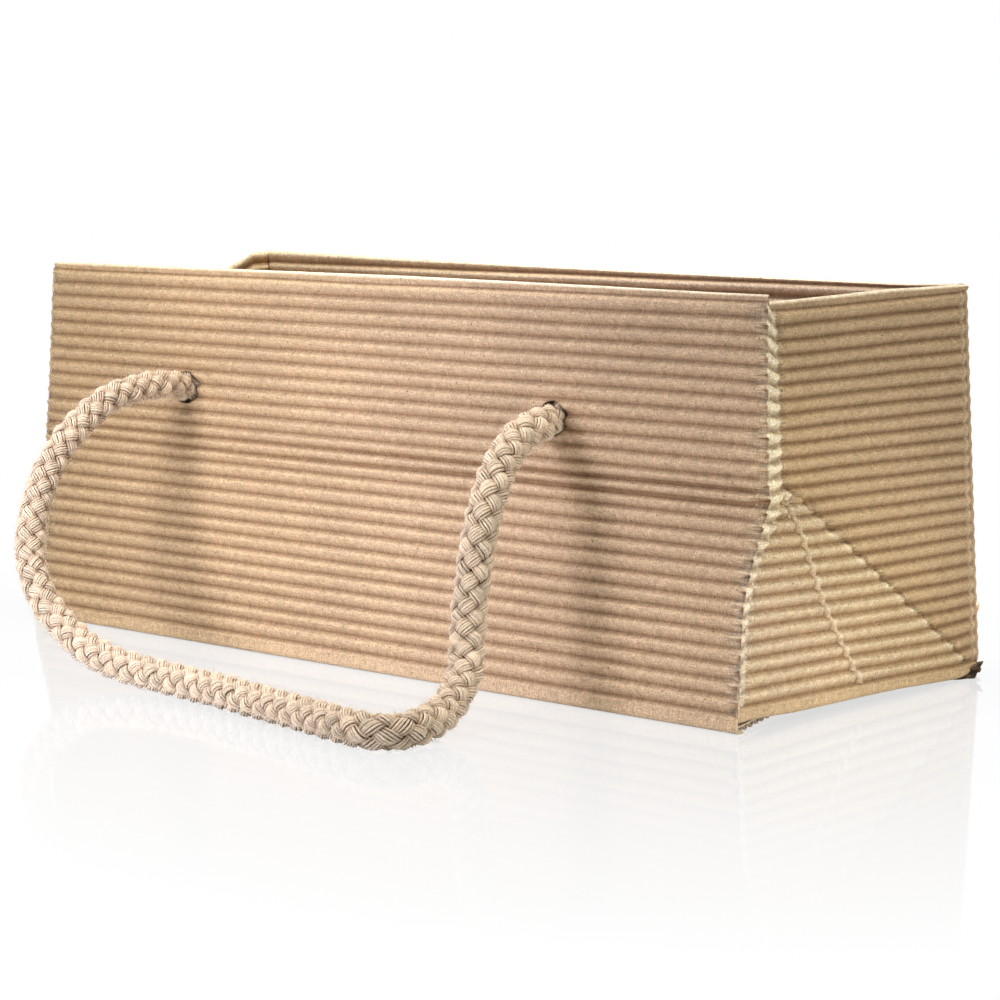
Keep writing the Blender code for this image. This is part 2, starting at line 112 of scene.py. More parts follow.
class NodeBench:
    """Adds and joins shader nodes in one node tree."""

    def __init__(self, tree: bpy.types.NodeTree) -> None:
        """Empties the tree to build in."""
        self.tree = tree
        tree.nodes.clear()

    def add(self, kind: str, **sockets: object) -> bpy.types.Node:
        """Adds a node.

        Args:
            kind: The node's type name.
            **sockets: Properties of the node, or input sockets by name with _ for a space.

        Returns:
            The new node.
        """
        node = self.tree.nodes.new(kind)
        for name, value in sockets.items():
            if hasattr(node, name) and name not in node.inputs:
                setattr(node, name, value)
                continue
            numbered = name[0] == "i" and name[1:].isdigit()
            socket = node.inputs[int(name[1:]) if numbered else name.replace("_", " ")]
            if isinstance(value, Socket):
                self.tree.links.new(value, socket)
            else:
                socket.default_value = value
        return node

    def maths(self, operation: str, first: object, second: object = 0.0, clamp: bool = False) -> Socket:
        """Joins two sockets or numbers with one sum, kept from 0 to 1 where clamp is set."""
        node = self.add("ShaderNodeMath", operation=operation, use_clamp=clamp, i0=first, i1=second)
        return node.outputs[0]

    def noise(self, place: Socket, scale: float, detail: float, roughness: float = 0.5) -> Socket:
        """Adds a noise texture and hands back its value."""
        node = self.add("ShaderNodeTexNoise", Vector=place, Scale=scale, Detail=detail, Roughness=roughness)
        return node.outputs[0]

    def stretched(self, place: Socket, scale: Point, turn: float = 0.0) -> Socket:
        """Stretches a place along its axes, after a turn about the third."""
        return self.add("ShaderNodeMapping", Vector=place, Scale=scale, Rotation=(0.0, 0.0, turn)).outputs[0]

    def attribute(self, name: str) -> Socket:
        """Reads one of the mesh's own attributes."""
        return self.add("ShaderNodeAttribute", attribute_name=name).outputs["Fac"]

    def remap(self, value: Socket, before: tuple[float, float], after: tuple[float, float]) -> Socket:
        """Moves a value from one range to another and keeps it in it."""
        ends = dict(zip(("From_Min", "From_Max", "To_Min", "To_Max"), (*before, *after)))
        return self.add("ShaderNodeMapRange", Value=value, **ends).outputs[0]

    def grey(self, value: Socket) -> Socket:
        """Makes a grey of a value."""
        return self.add("ShaderNodeCombineColor", i0=value, i1=value, i2=value).outputs[0]

    def seen(self) -> Socket:
        """Tells what is looked at from what lights the bag.

        Returns:
            1 for a ray from the camera, a mirror or a glass, and 0 for the light's own rays.
        """
        light = self.add("ShaderNodeLightPath").outputs
        seen = self.maths("MAXIMUM", light["Is Camera Ray"], light["Is Glossy Ray"])
        return self.maths("MAXIMUM", seen, light["Is Transmission Ray"])

    def mix(self, share: object, first: object, second: object, blend: str = "MIX") -> Socket:
        """Mixes two colours.

        Args:
            share: How much of the second, a socket or number.
            first: A socket or colour.
            second: A socket or colour.
            blend: The Mix node's blend type.

        Returns:
            The mixed colour's socket.
        """
        node = self.tree.nodes.new("ShaderNodeMix")
        node.data_type = "RGBA"
        node.blend_type = blend
        for index, value in ((0, share), (6, first), (7, second)):
            if isinstance(value, Socket):
                self.tree.links.new(value, node.inputs[index])
            else:
                node.inputs[index].default_value = value
        return node.outputs[2]

    def toned(
        self, colour: Socket, ends: tuple[float, float], textures: tuple[tuple[Socket, float, float], ...]
    ) -> Socket:
        """Lightens and darkens a colour by textures.

        Args:
            colour: The colour's socket.
            ends: The textures' values that count as their darkest and lightest.
            textures: Each texture, and what it multiplies the colour by at those two.

        Returns:
            The toned colour's socket.
        """
        for texture, low, high in textures:
            tone = self.grey(self.remap(texture, ends, (low, high)))
            colour = self.mix(0.9, colour, tone, "MULTIPLY")
        return colour

    def finish(self, colour: Socket, relief: Socket, strength: float, depth: float, **looks: float) -> None:
        """Ends a matt material.

        Args:
            colour: Its colour.
            relief: Its fine relief.
            strength: How strongly the relief shows.
            depth: The relief's depth, in metres.
            **looks: The shader's other inputs by name, with _ for a space.
        """
        bump = self.add("ShaderNodeBump", Height=relief, Strength=strength, Distance=depth)
        shader = self.add("ShaderNodeBsdfPrincipled", Base_Color=colour, Normal=bump.outputs[0], **looks)
        self.add("ShaderNodeOutputMaterial", Surface=shader.outputs[0])

    def ramp(self, value: Socket, stops: tuple[tuple[float, float], ...]) -> Socket:
        """Maps a value through grey stops.

        Args:
            value: The socket to map.
            stops: Pairs of position and grey level.

        Returns:
            The mapped value's socket.
        """
        node = self.add("ShaderNodeValToRGB", i0=value)
        elements = node.color_ramp.elements
        while len(elements) < len(stops):
            elements.new(0.5)
        for element, (place, level) in zip(elements, stops):
            element.position = place
            element.color = (level, level, level, 1.0)
        return node.outputs[0]


def new_material(name: str) -> tuple[bpy.types.Material, NodeBench]:
    """Starts a material.

    Args:
        name: The material's name.

    Returns:
        The material, and the bench that its nodes are made on.
    """
    material = bpy.data.materials.new(name)
    material.use_nodes = True
    return material, NodeBench(material.node_tree)


def place_object(name: str, data: bpy.types.ID) -> bpy.types.Object:
    """Puts something into the scene.

    Args:
        name: The object's name.
        data: Its mesh, lamp or camera.

    Returns:
        The object, at the origin.
    """
    made = bpy.data.objects.new(name, data)
    bpy.context.scene.collection.objects.link(made)
    return made


# Finishes.


@dataclass(frozen=True)
class Kraft:
    """Brown kraft paper: fibres, fine wire marks across the flutes, dark specks, painted shade in the
    grooves, folds made paler by wear and painted highlight, and a painted tint of the light.
    """

    name: str = "kraft paper"
    # crest is the colour of the lit flute tops, groove the painted shade between them.
    crest: Colour = (0.640, 0.450, 0.284, 1.0)
    groove: Colour = (0.320, 0.185, 0.098, 1.0)
    # The pale colour of worn paper, also used for painted highlights.
    pale_wear_and_highlight: Colour = (0.960, 0.820, 0.640, 1.0)
    speck: Colour = (0.120, 0.060, 0.030, 1.0)
    # yellow and pink are the two ends of a painted light tint across the bag.
    yellow: Colour = (1.0, 0.985, 0.87, 1.0)
    pink: Colour = (0.965, 0.965, 1.0, 1.0)
    roughness: float = 0.82
    shine: float = 0.25
    relief_depth: float = 0.18 * MM

    def make(self) -> bpy.types.Material:
        """Builds the material.

        Returns:
            A material that reads the sheet's UV map (metres along and across the flutes), its flute
            attribute, which carries the painted shade, and its wear_and_highlight and crush attributes.
        """
        material, bench = new_material(self.name)
        place = bench.add("ShaderNodeTexCoord").outputs["Object"]
        sheet = bench.add("ShaderNodeUVMap", uv_map="sheet").outputs[0]
        flute, wear_and_highlight, crush = (bench.attribute(name) for name in ("flute", "wear_and_highlight", "crush"))

        cloud = bench.noise(place, 30.0, 4.0, 0.55)
        mottle = bench.noise(place, 620.0, 4.0, 0.65)
        grain = bench.noise(place, 3100.0, 2.0, 0.6)
        wire = bench.noise(bench.stretched(sheet, (3700.0, 300.0, 1.0)), 1.0, 1.0)
        fibre = bench.noise(bench.stretched(sheet, (420.0, 4200.0, 1.0), turn=0.12), 1.0, 3.0, 0.6)
        wrinkle = bench.noise(bench.stretched(place, (260.0, 420.0, 2300.0)), 1.0, 2.0, 0.55)
        dots = bench.add("ShaderNodeTexVoronoi", Vector=place, Scale=520.0, Randomness=1.0)
        spots = bench.maths("LESS_THAN", dots.outputs["Distance"], 0.13)
        rare = bench.add("ShaderNodeSeparateColor", Color=dots.outputs["Color"]).outputs[0]
        spots = bench.maths("MULTIPLY", spots, bench.maths("GREATER_THAN", rare, 0.80))

        # Painted shade: the flute attribute is low in the grooves and dents, where the dark groove colour
        # takes over.
        height = bench.ramp(flute, ((0.0, 0.0), (0.14, 0.46), (0.50, 0.86), (1.0, 1.0)))
        colour = bench.mix(height, self.groove, self.crest)
        # Painted light and shade of the crumpled paper's wrinkles: darker and paler streaks where it is
        # crushed.
        streaks = bench.grey(bench.remap(wrinkle, (0.40, 0.60), (0.30, 1.25)))
        colour = bench.mix(bench.maths("MULTIPLY", crush, 0.85), colour, streaks, "MULTIPLY")
        wear_and_highlight_share = bench.maths("MULTIPLY", wear_and_highlight, bench.maths("ADD", mottle, 0.55), clamp=True)
        colour = bench.mix(wear_and_highlight_share, colour, self.pale_wear_and_highlight)
        textures = (
            (cloud, 0.90, 1.07),
            (mottle, 0.84, 1.12),
            (wire, 0.80, 1.15),
            (fibre, 0.76, 1.16),
            (grain, 0.62, 1.30),
        )
        colour = bench.toned(colour, (0.30, 0.70), textures)
        colour = bench.mix(bench.maths("MULTIPLY", spots, 0.65), colour, self.speck)
        # Painted light tint: yellower at the left end and on the right side wall, pinker over the front's
        # right half.
        along_bag = bench.add("ShaderNodeSeparateXYZ", Vector=place).outputs[0]
        along_bag = bench.remap(along_bag, (-0.12, 0.12), (0.0, 1.0))
        painted_light_tint = bench.ramp(along_bag, ((0.08, 0.0), (0.70, 1.0), (0.965, 1.0), (0.985, 0.0)))
        colour = bench.mix(1.0, colour, bench.mix(painted_light_tint, self.yellow, self.pink), "MULTIPLY")

        relief = bench.maths("MULTIPLY", wrinkle, bench.maths("MULTIPLY", crush, 2.4))
        for texture, share in ((mottle, 0.35), (grain, 0.40), (fibre, 0.45), (wire, 0.22)):
            relief = bench.maths("ADD", relief, bench.maths("MULTIPLY", texture, share))
        looks = {"Roughness": self.roughness, "Specular_IOR_Level": self.shine}
        bench.finish(colour, relief, 0.6, self.relief_depth, **looks)
        return material


@dataclass(frozen=True)
class Cotton:
    """Unbleached cotton yarn: soft, matt, with twisted plies and painted shade in the hollows between the
    strands.
    """

    name: str = "unbleached cotton"
    yarn: Colour = (0.860, 0.690, 0.520, 1.0)
    hollow_shade: Colour = (0.330, 0.190, 0.105, 1.0)
    roughness: float = 0.95
    shine: float = 0.15
    sheen: float = 0.25
    sheen_roughness: float = 0.5
    relief_depth: float = 0.14 * MM

    def make(self) -> bpy.types.Material:
        """Builds the material.

        Returns:
            A material that reads the yarn's depth and shade attributes.
        """
        material, bench = new_material(self.name)
        place = bench.add("ShaderNodeTexCoord").outputs["Object"]
        depth, shade = bench.attribute("depth"), bench.attribute("shade")
        cloud = bench.noise(place, 120.0, 3.0)
        lint = bench.noise(place, 1900.0, 4.0, 0.7)
        plies = bench.noise(place, 4200.0, 2.0, 0.6)
        # Painted shade: the depth attribute, low in the braid's hollows, mixes in the dark hollow_shade
        # colour.
        colour = bench.mix(bench.ramp(depth, ((0.0, 0.0), (0.30, 0.35), (0.80, 1.0))), self.hollow_shade, self.yarn)
        textures = ((cloud, 0.92, 1.07), (lint, 0.72, 1.20), (plies, 0.78, 1.18), (shade, 0.78, 1.12))
        colour = bench.toned(colour, (0.25, 0.75), textures)
        relief = bench.maths("ADD", lint, bench.maths("MULTIPLY", plies, 0.5))
        looks = {"Roughness": self.roughness, "Specular_IOR_Level": self.shine}
        looks.update(Sheen_Weight=self.sheen, Sheen_Roughness=self.sheen_roughness)
        bench.finish(colour, relief, 0.8, self.relief_depth, **looks)
        return material


@dataclass(frozen=True)
class Tabletop:
    """A white glossy table that fades to plain white away from the bag."""

    name: str = "white tabletop"
    white: Colour = (0.62, 0.66, 0.72, 1.0)
    mirror: float = 0.22
    fade: float = 0.165
    bag: Point = (0.115, 0.047, 0.0)

    def make(self) -> bpy.types.Material:
        """Builds the material.

        Returns:
            White with a faint mirror that fades away from the bag.
        """
        material, bench = new_material(self.name)
        place = bench.add("ShaderNodeTexCoord").outputs["Object"]
        beside = bench.add("ShaderNodeVectorMath", operation="ABSOLUTE", i0=place).outputs[0]
        for operation, other in (("SUBTRACT", self.bag), ("MAXIMUM", (0.0, 0.0, 0.0))):
            beside = bench.add("ShaderNodeVectorMath", operation=operation, i0=beside, i1=other).outputs[0]
        far = bench.add("ShaderNodeVectorMath", operation="LENGTH", i0=beside).outputs["Value"]
        near = bench.remap(far, (0.01, self.fade), (self.mirror, 0.0))
        paint = bench.add("ShaderNodeBsdfDiffuse", Color=self.white)
        glow = bench.add("ShaderNodeEmission", Color=(1.0, 1.0, 1.0, 1.0), Strength=1.0)
        gloss = bench.add("ShaderNodeBsdfGlossy", Color=(1.0, 1.0, 1.0, 1.0), Roughness=0.06)
        share = bench.maths("MULTIPLY", bench.seen(), bench.remap(far, (0.0, 0.08), (0.88, 1.0)))
        base = bench.add("ShaderNodeMixShader", i0=share, i1=paint.outputs[0], i2=glow.outputs[0])
        final = bench.add("ShaderNodeMixShader", i0=near, i1=base.outputs[0], i2=gloss.outputs[0])
        bench.add("ShaderNodeOutputMaterial", Surface=final.outputs[0])
        return material


# Camera and studio.


@dataclass(frozen=True)
class Camera:
    """The photograph's camera."""

    place: Point = (0.47162, -0.52093, 0.12402)
    turn: float = math.radians(41.775)
    tilt: float = math.radians(7.175)
    focal: float = 103.93

    def make(self) -> bpy.types.Object:
        """Adds the camera and makes it the scene's.

        Returns:
            The camera.
        """
        data = bpy.data.cameras.new("camera")
        data.lens = self.focal
        data.sensor_width = 36.0
        data.clip_start, data.clip_end = 0.02, 20.0
        camera = place_object("camera", data)
        camera.location = self.place
        camera.rotation_euler = (math.pi / 2.0 - self.tilt, 0.0, self.turn)
        bpy.context.scene.camera = camera
        return camera


@dataclass(frozen=True)
class SoftBox:
    """One soft lamp."""

    name: str
    place: Point
    power: float
    width: float
    aim: Point = (0.0, 0.0, 0.04)
    spread: float = 180.0
    colour: Point = (1.0, 1.0, 1.0)

    def make(self) -> bpy.types.Object:
        """Adds the lamp.

        Returns:
            The lamp.
        """
        data = bpy.data.lights.new(self.name, "AREA")
        data.energy = self.power
        data.size = self.width
        data.color = self.colour
        data.spread = math.radians(self.spread)
        lamp = place_object(self.name, data)
        lamp.location = self.place
        lamp.rotation_euler = (Vector(self.aim) - Vector(self.place)).to_track_quat("-Z", "Y").to_euler()
        return lamp


@dataclass(frozen=True)
class Studio:
    """White surroundings that light the bag mostly from above, a white table and the lamps."""

    low_fill: float = 0.12
    high_fill: float = 0.30
    warm: Colour = (1.0, 0.94, 0.80, 1.0)
    cool: Colour = (1.0, 1.0, 1.0, 1.0)
    lamps: tuple[SoftBox, ...] = (
        SoftBox("key lamp", (-0.03, -0.34, 0.11), 0.150, 0.12, (-0.018, 0.0, 0.052), 68.0, (1.00, 1.0, 1.12)),
        SoftBox("top lamp", (0.10, 0.10, 1.60), 23.0, 1.2, colour=(1.0, 0.99, 0.90)),
        SoftBox("inner lamp", (0.0, -0.030, 0.42), 0.105, 0.05, (0.0, 0.040, 0.085), 50.0, (1.0, 0.96, 0.90)),
        SoftBox(
            "low side lamp", (0.34, -0.13, 0.03), 0.036, 0.06, (0.117, -0.014, 0.008), 48.0, (0.98, 1.0, 0.94)
        ),
    )

    def make(self) -> None:
        """Adds the table, the world and the lamps."""
        bpy.context.scene.view_settings.view_transform = "Standard"
        table = bmesh.new()
        bmesh.ops.create_grid(table, x_segments=1, y_segments=1, size=3.0)
        mesh = bpy.data.meshes.new("tabletop")
        table.to_mesh(mesh)
        table.free()
        mesh.materials.append(Tabletop().make())
        place_object("tabletop", mesh)
        world = bpy.data.worlds.new("white room")
        world.use_nodes = True
        bench = NodeBench(world.node_tree)
        way = bench.add("ShaderNodeSeparateXYZ", Vector=bench.add("ShaderNodeTexCoord").outputs["Generated"])
        fill = bench.remap(way.outputs[2], (0.0, 0.8), (self.low_fill, self.high_fill))
        tint = bench.mix(bench.remap(way.outputs[0], (0.0, 0.8), (0.0, 1.0)), self.cool, self.warm)
        room = bench.add("ShaderNodeBackground", Color=tint, Strength=fill)
        paper = bench.add("ShaderNodeBackground", Color=(1.0, 1.0, 1.0, 1.0), Strength=1.0)
        both = bench.add("ShaderNodeMixShader", i0=bench.seen(), i1=room.outputs[0], i2=paper.outputs[0])
        bench.add("ShaderNodeOutputWorld", Surface=both.outputs[0])
        bpy.context.scene.world = world
        for lamp in self.lamps:
            lamp.make()


# Fluted board.


@dataclass(frozen=True)
class Board:
    """Single-face corrugated board.

    inside is how far in a double wall's hidden side lies, and the fold under the wall starts fold_inset
    in from the crests. The rim is rim_least thick at its foot and rim_growth more over its top, each as a
    radius. The steps are rows for each flute, and row_length is the paper that a row off the wall takes.
    """

    thickness: float = 1.6 * MM
    rise: float = 1.1 * MM
    pitch: float = 3.35 * MM
    layer_gap: float = 0.3 * MM
    inside: float = 2.9 * MM
    fold_radius: float = 1.5 * MM
    fold_inset: float = 0.1 * MM
    rim_least: float = 0.65 * MM
    rim_growth: float = 0.90 * MM
    row_length: float = 0.35 * MM
    steps: int = 12
    hem_steps: int = 8

    def height(self, flute: float) -> float:
        """Height of the fluted face at one place, 0 in a groove and 1 on a crest."""
        return float(self.wave(np.array([flute]))[0])

    def wave(self, flutes: Array) -> Array:
        """Height of the fluted face.

        Args:
            flutes: Place across the flutes, a whole number in each groove.

        Returns:
            0 in a groove and 1 on a crest.
        """
        whole = np.floor(flutes)
        part = flutes - whole
        part = part + 0.115 * np.sin(np.pi * part)
        return (0.5 - 0.5 * np.cos(2.0 * np.pi * part)) ** 0.80


@dataclass
class Coat:
    """What each place on a wall has, rows by columns: how far out it stands and how it looks."""

    wave: Array
    out: Array
    tone: Array
    wear_and_highlight: Array
    crush: Array

    def push(self, where: Array, amount: Array) -> None:
        """Moves places outwards, or inwards where the amount is negative."""
        self.out = self.out + np.where(where, amount, 0.0)

    def paint_shade(self, where: Array, amount: Array) -> None:
        """Paints shade: takes tone off places."""
        self.tone = self.tone - np.where(where, amount, 0.0)

    def rub_and_highlight(self, where: Array, amount: Array) -> None:
        """Makes places paler at least so much, with wear and painted highlight."""
        self.wear_and_highlight = np.maximum(self.wear_and_highlight, np.where(where, amount, 0.0))

    def crumple(self, where: Array, amount: Array) -> None:
        """Crumples the paper of places at least so much."""
        self.crush = np.maximum(self.crush, np.where(where, amount, 0.0))


class Zone(Enum):
    """Where on a wall's profile a row of the sheet lies."""

    FOLD = 0
    WALL = 1
    RIM = 2
    HEM = 3
    LINER = 4


@dataclass
class WallRows:
    """The closed profile of a wall with its turned-in rim, one entry per row of the sheet."""

    zone: Array
    flute: Array
    out: Array
    part: Array
    wave: Array
    tone: Array
    arc: Array

    @staticmethod
    def cut(board: Board, last: int, drop: float, fold: float) -> "WallRows":
        """Lays the rows out, from the fold under the bag up the wall, over the rim and down inside.

        Args:
            board: The board.
            last: Number of flutes down to the last groove.
            drop: Height of the turned-in rim, from the first groove to its lower edge.
            fold: Height of the fold, from the floor side to the last groove.

        Returns:
            Rows with out measured from the crest plane, negative inwards, and part the share of the way
            from one border of the row's zone to the other.
        """
        rows: list[tuple[Zone, float, float, float, float, float]] = []
        rise, thick, radius = board.rise, board.thickness, board.fold_radius
        for out, part in ((-board.inside, 0.06), (-2.2 * MM, 0.02)):
            rows.append((Zone.FOLD, last + 1.0, out, part, 0.7, 0.7))
        for degrees in range(-90, 1, 10):
            angle = math.radians(degrees)
            out = -board.fold_inset - radius + radius * math.cos(angle)
            rows.append((Zone.FOLD, last + 0.9, out, radius * (1.0 + math.sin(angle)) / fold, 1.0, 0.9))
        start = radius / fold
        for part in np.linspace(start, 1.0, 12)[1:-1]:
            phase = min((1.0 - part) / 0.60, 0.5)
            wave = board.height(phase)
            out = -board.fold_inset * wave - rise * (1.0 - wave)
            rows.append((Zone.FOLD, last + phase, out, float(part), wave, wave))
        for step in range(last * board.steps + 1):
            flute = last - step / board.steps
            wave = board.height(flute)
            # The row's last value is its tone, its painted shade: as low as the wave in the grooves.
            rows.append((Zone.WALL, flute, -rise * (1.0 - wave), 0.0, wave, wave))
        middle = -(thick + board.layer_gap / 2.0)
        for degrees in range(9, 181, 9):
            angle = math.radians(degrees)
            near = min(degrees, 180 - degrees) / 50.0
            size = board.rim_least + board.rim_growth * float(smooth(0.0, 1.0, np.array(near)))
            # Painted shade: the rim is darker towards both its feet, darkest down its inner side.
            tone = 0.30 + 0.50 * float(smooth(0.0, 0.7, np.array(near)))
            tone = tone * min(1.0, ((180 - degrees) / 40.0) ** 1.5)
            out = middle + size * math.cos(angle)
            rows.append((Zone.RIM, -degrees / 180.0, out, math.sin(angle), math.sin(angle), tone))
        inner = 2.0 * middle
        count = int(drop / board.pitch)
        for step in range(count * board.hem_steps + 1):
            flute = step / board.hem_steps
            wave = board.height(flute)
            out = inner + rise * (1.0 - wave)
            rows.append((Zone.HEM, flute, out, flute * board.pitch / drop, wave, wave))
        rows.append((Zone.HEM, float(count), inner + rise, 1.0, 0.2, 0.1))
        rows.append((Zone.HEM, float(count), middle, 1.0, 0.2, 0.1))
        for part in (0.0, 0.15, 0.3, 0.5, 0.7, 0.85, 1.0):
            rows.append((Zone.LINER, 0.0, -thick, part, 0.8, 0.85))
        rows.append((Zone.LINER, 0.0, -board.inside, 1.0, 0.8, 0.85))
        zone = np.array([row[0].value for row in rows], float)
        flute, out, part, wave, tone = (np.array([row[k] for row in rows], float) for k in (1, 2, 3, 4, 5))
        ups = np.where(zone == Zone.WALL.value, board.pitch / board.steps, board.row_length)
        return WallRows(zone, flute, out, part, wave, tone, np.cumsum(ups))

    def is_in(self, zone: Zone) -> Array:
        """Which rows lie in the zone, as a column."""
        return (self.zone == zone.value)[:, None]

    def coat(self, width: int) -> Coat:
        """Spreads the rows over the wall's columns, unworn and uncrumpled."""
        wave, out, tone = (values[:, None] * np.ones(width) for values in (self.wave, self.out, self.tone))
        return Coat(wave, out, tone, 0.0 * out, 0.0 * out)

    def turned(self, outer: Array) -> Array:
        """How far each row has turned over the rim, 0 outside the wall and 1 inside."""
        over = np.clip((-self.out[:, None] - 1.1 * MM) / (1.3 * MM), 0.0, 1.0)
        return np.where(outer, 0.0, np.where(self.is_in(Zone.RIM), over, 1.0))

    def swell(self, seed: int, last: int, width: int, spacing: float) -> Array:
        """Makes each flute a little fuller and leaner along its length.

        Args:
            seed: Picks the wander.
            last: Number of flutes down to the last groove.
            width: Number of columns.
            spacing: Columns between changes.

        Returns:
            Numbers between about -1 and 1, rows by columns.
        """
        which = np.clip(np.rint(self.flute - 0.5), 0, last).astype(int)
        return flute_noise(seed, last, width, spacing)[which]

    def uneven(self, seed: int, last: int) -> Array:
        """Gives each flute its own size for the marks at its end, as a column."""
        sizes = np.random.default_rng(seed).uniform(0.6, 1.3, last + 3)
        return sizes[np.floor(self.flute).astype(int) + 1][:, None]

    def paint_rim_wear_light_and_shade(self, coat: Coat) -> None:
        """Makes the rim pale over its top, with wear and painted highlight, paints a highlight on its inner
        side and on the crests inside it, and paints shade into the grooves inside it.

        Args:
            coat: The wall's coat.
        """
        # Painted highlight on the rim's inner side; the rim's top is pale with wear and painted highlight.
        over = 0.75 * hump(-180.0 * self.flute[:, None], 122.0, 24.0)
        coat.rub_and_highlight(self.is_in(Zone.RIM), np.maximum(smooth(0.60, 0.97, coat.wave), over))
        # Inside the rim: painted shade in the grooves and painted highlight on the crests.
        hem = self.is_in(Zone.HEM)
        coat.tone = np.where(hem, coat.tone * coat.wave**1.2, coat.tone)
        coat.wear_and_highlight = np.where(hem, 0.50 * coat.wave**3, coat.wear_and_highlight)

    def heights(
        self, groove: Callable[[Array], Array], last: int, top: Array, low: Array, hem: float
    ) -> Array:
        """Works out every row's height along the wall.

        Args:
            groove: Gives the height of a flute number's place at each column.
            last: Number of flutes down to the last groove.
            top: The rim's height at each column.
            low: The underside's height at each column.
            hem: Height of the turned-in rim's lower edge.

        Returns:
            Heights, rows by columns.
        """
        part = self.part[:, None]
        first = groove(np.zeros((1, 1)))
        end = groove(np.full((1, 1), float(last)))
        up = np.zeros((len(self.zone), max(np.shape(top)[-1], np.shape(first)[-1])))
        up = np.where(self.is_in(Zone.FOLD), low + (end - low) * part, up)
        up = np.where(self.is_in(Zone.WALL), groove(self.flute[:, None]), up)
        up = np.where(self.is_in(Zone.RIM), first + (top - first) * part, up)
        up = np.where(self.is_in(Zone.HEM), first + (hem - first) * part, up)
        return np.where(self.is_in(Zone.LINER), hem + (low + Board.thickness - hem) * part, up)


@dataclass
class SheetMesh:
    """A grid sheet that is shaped, closed along its profile, capped and dressed."""

    name: str
    places: Array
    run: Array
    arc: Array
    flute: Array
    wear_and_highlight: Array
    crush: Array

    def make(self, material: bpy.types.Material, flip: bool) -> bpy.types.Object:
        """Builds the object.

        Args:
            material: The sheet's finish.
            flip: Whether the grid's faces have to be turned to face out.

        Returns:
            The object, at the origin.
        """
        rows, columns = self.places.shape[:2]
        sheet = bmesh.new()
        bmesh.ops.create_grid(sheet, x_segments=columns - 1, y_segments=rows - 1, size=1.0)
        sheet.verts.ensure_lookup_table()
        grid = np.array([vertex.co[:2] for vertex in sheet.verts])
        column = np.rint((grid[:, 0] + 1.0) / 2.0 * (columns - 1)).astype(int)
        row = np.rint((grid[:, 1] + 1.0) / 2.0 * (rows - 1)).astype(int)
        marked = sheet.loops.layers.uv.new("sheet")
        layers = [sheet.verts.layers.float.new(name) for name in ("flute", "wear_and_highlight", "crush")]
        values = [grid[row, column].tolist() for grid in (self.flute, self.wear_and_highlight, self.crush)]
        places = self.places[row, column].tolist()
        marks = np.stack([self.run[row, column], self.arc[row, column]], axis=1).tolist()
        for index, vertex in enumerate(sheet.verts):
            vertex.index = index
            vertex.co = places[index]
            for layer, value in zip(layers, values):
                vertex[layer] = value[index]
        for face in sheet.faces:
            face.smooth = True
        borders = []
        for end in (0, rows - 1):
            border = np.flatnonzero(row == end)
            borders.append([sheet.verts[i] for i in border[np.argsort(column[border])]])
        first, last = borders
        for corners in zip(last, last[1:], first[1:], first):
            sheet.faces.new(corners)
        edges = [edge for edge in sheet.edges if edge.is_boundary]
        caps = bmesh.ops.holes_fill(sheet, edges=edges)["faces"]
        for face in sheet.faces:
            for loop in face.loops:
                loop[marked].uv = marks[loop.vert.index]
        bmesh.ops.triangulate(sheet, faces=caps)
        if flip:
            bmesh.ops.reverse_faces(sheet, faces=sheet.faces)
        mesh = bpy.data.meshes.new(self.name)
        sheet.to_mesh(mesh)
        sheet.free()
        mesh.materials.append(material)
        mesh.set_sharp_from_angle(angle=math.radians(62.0))
        return place_object(self.name, mesh)


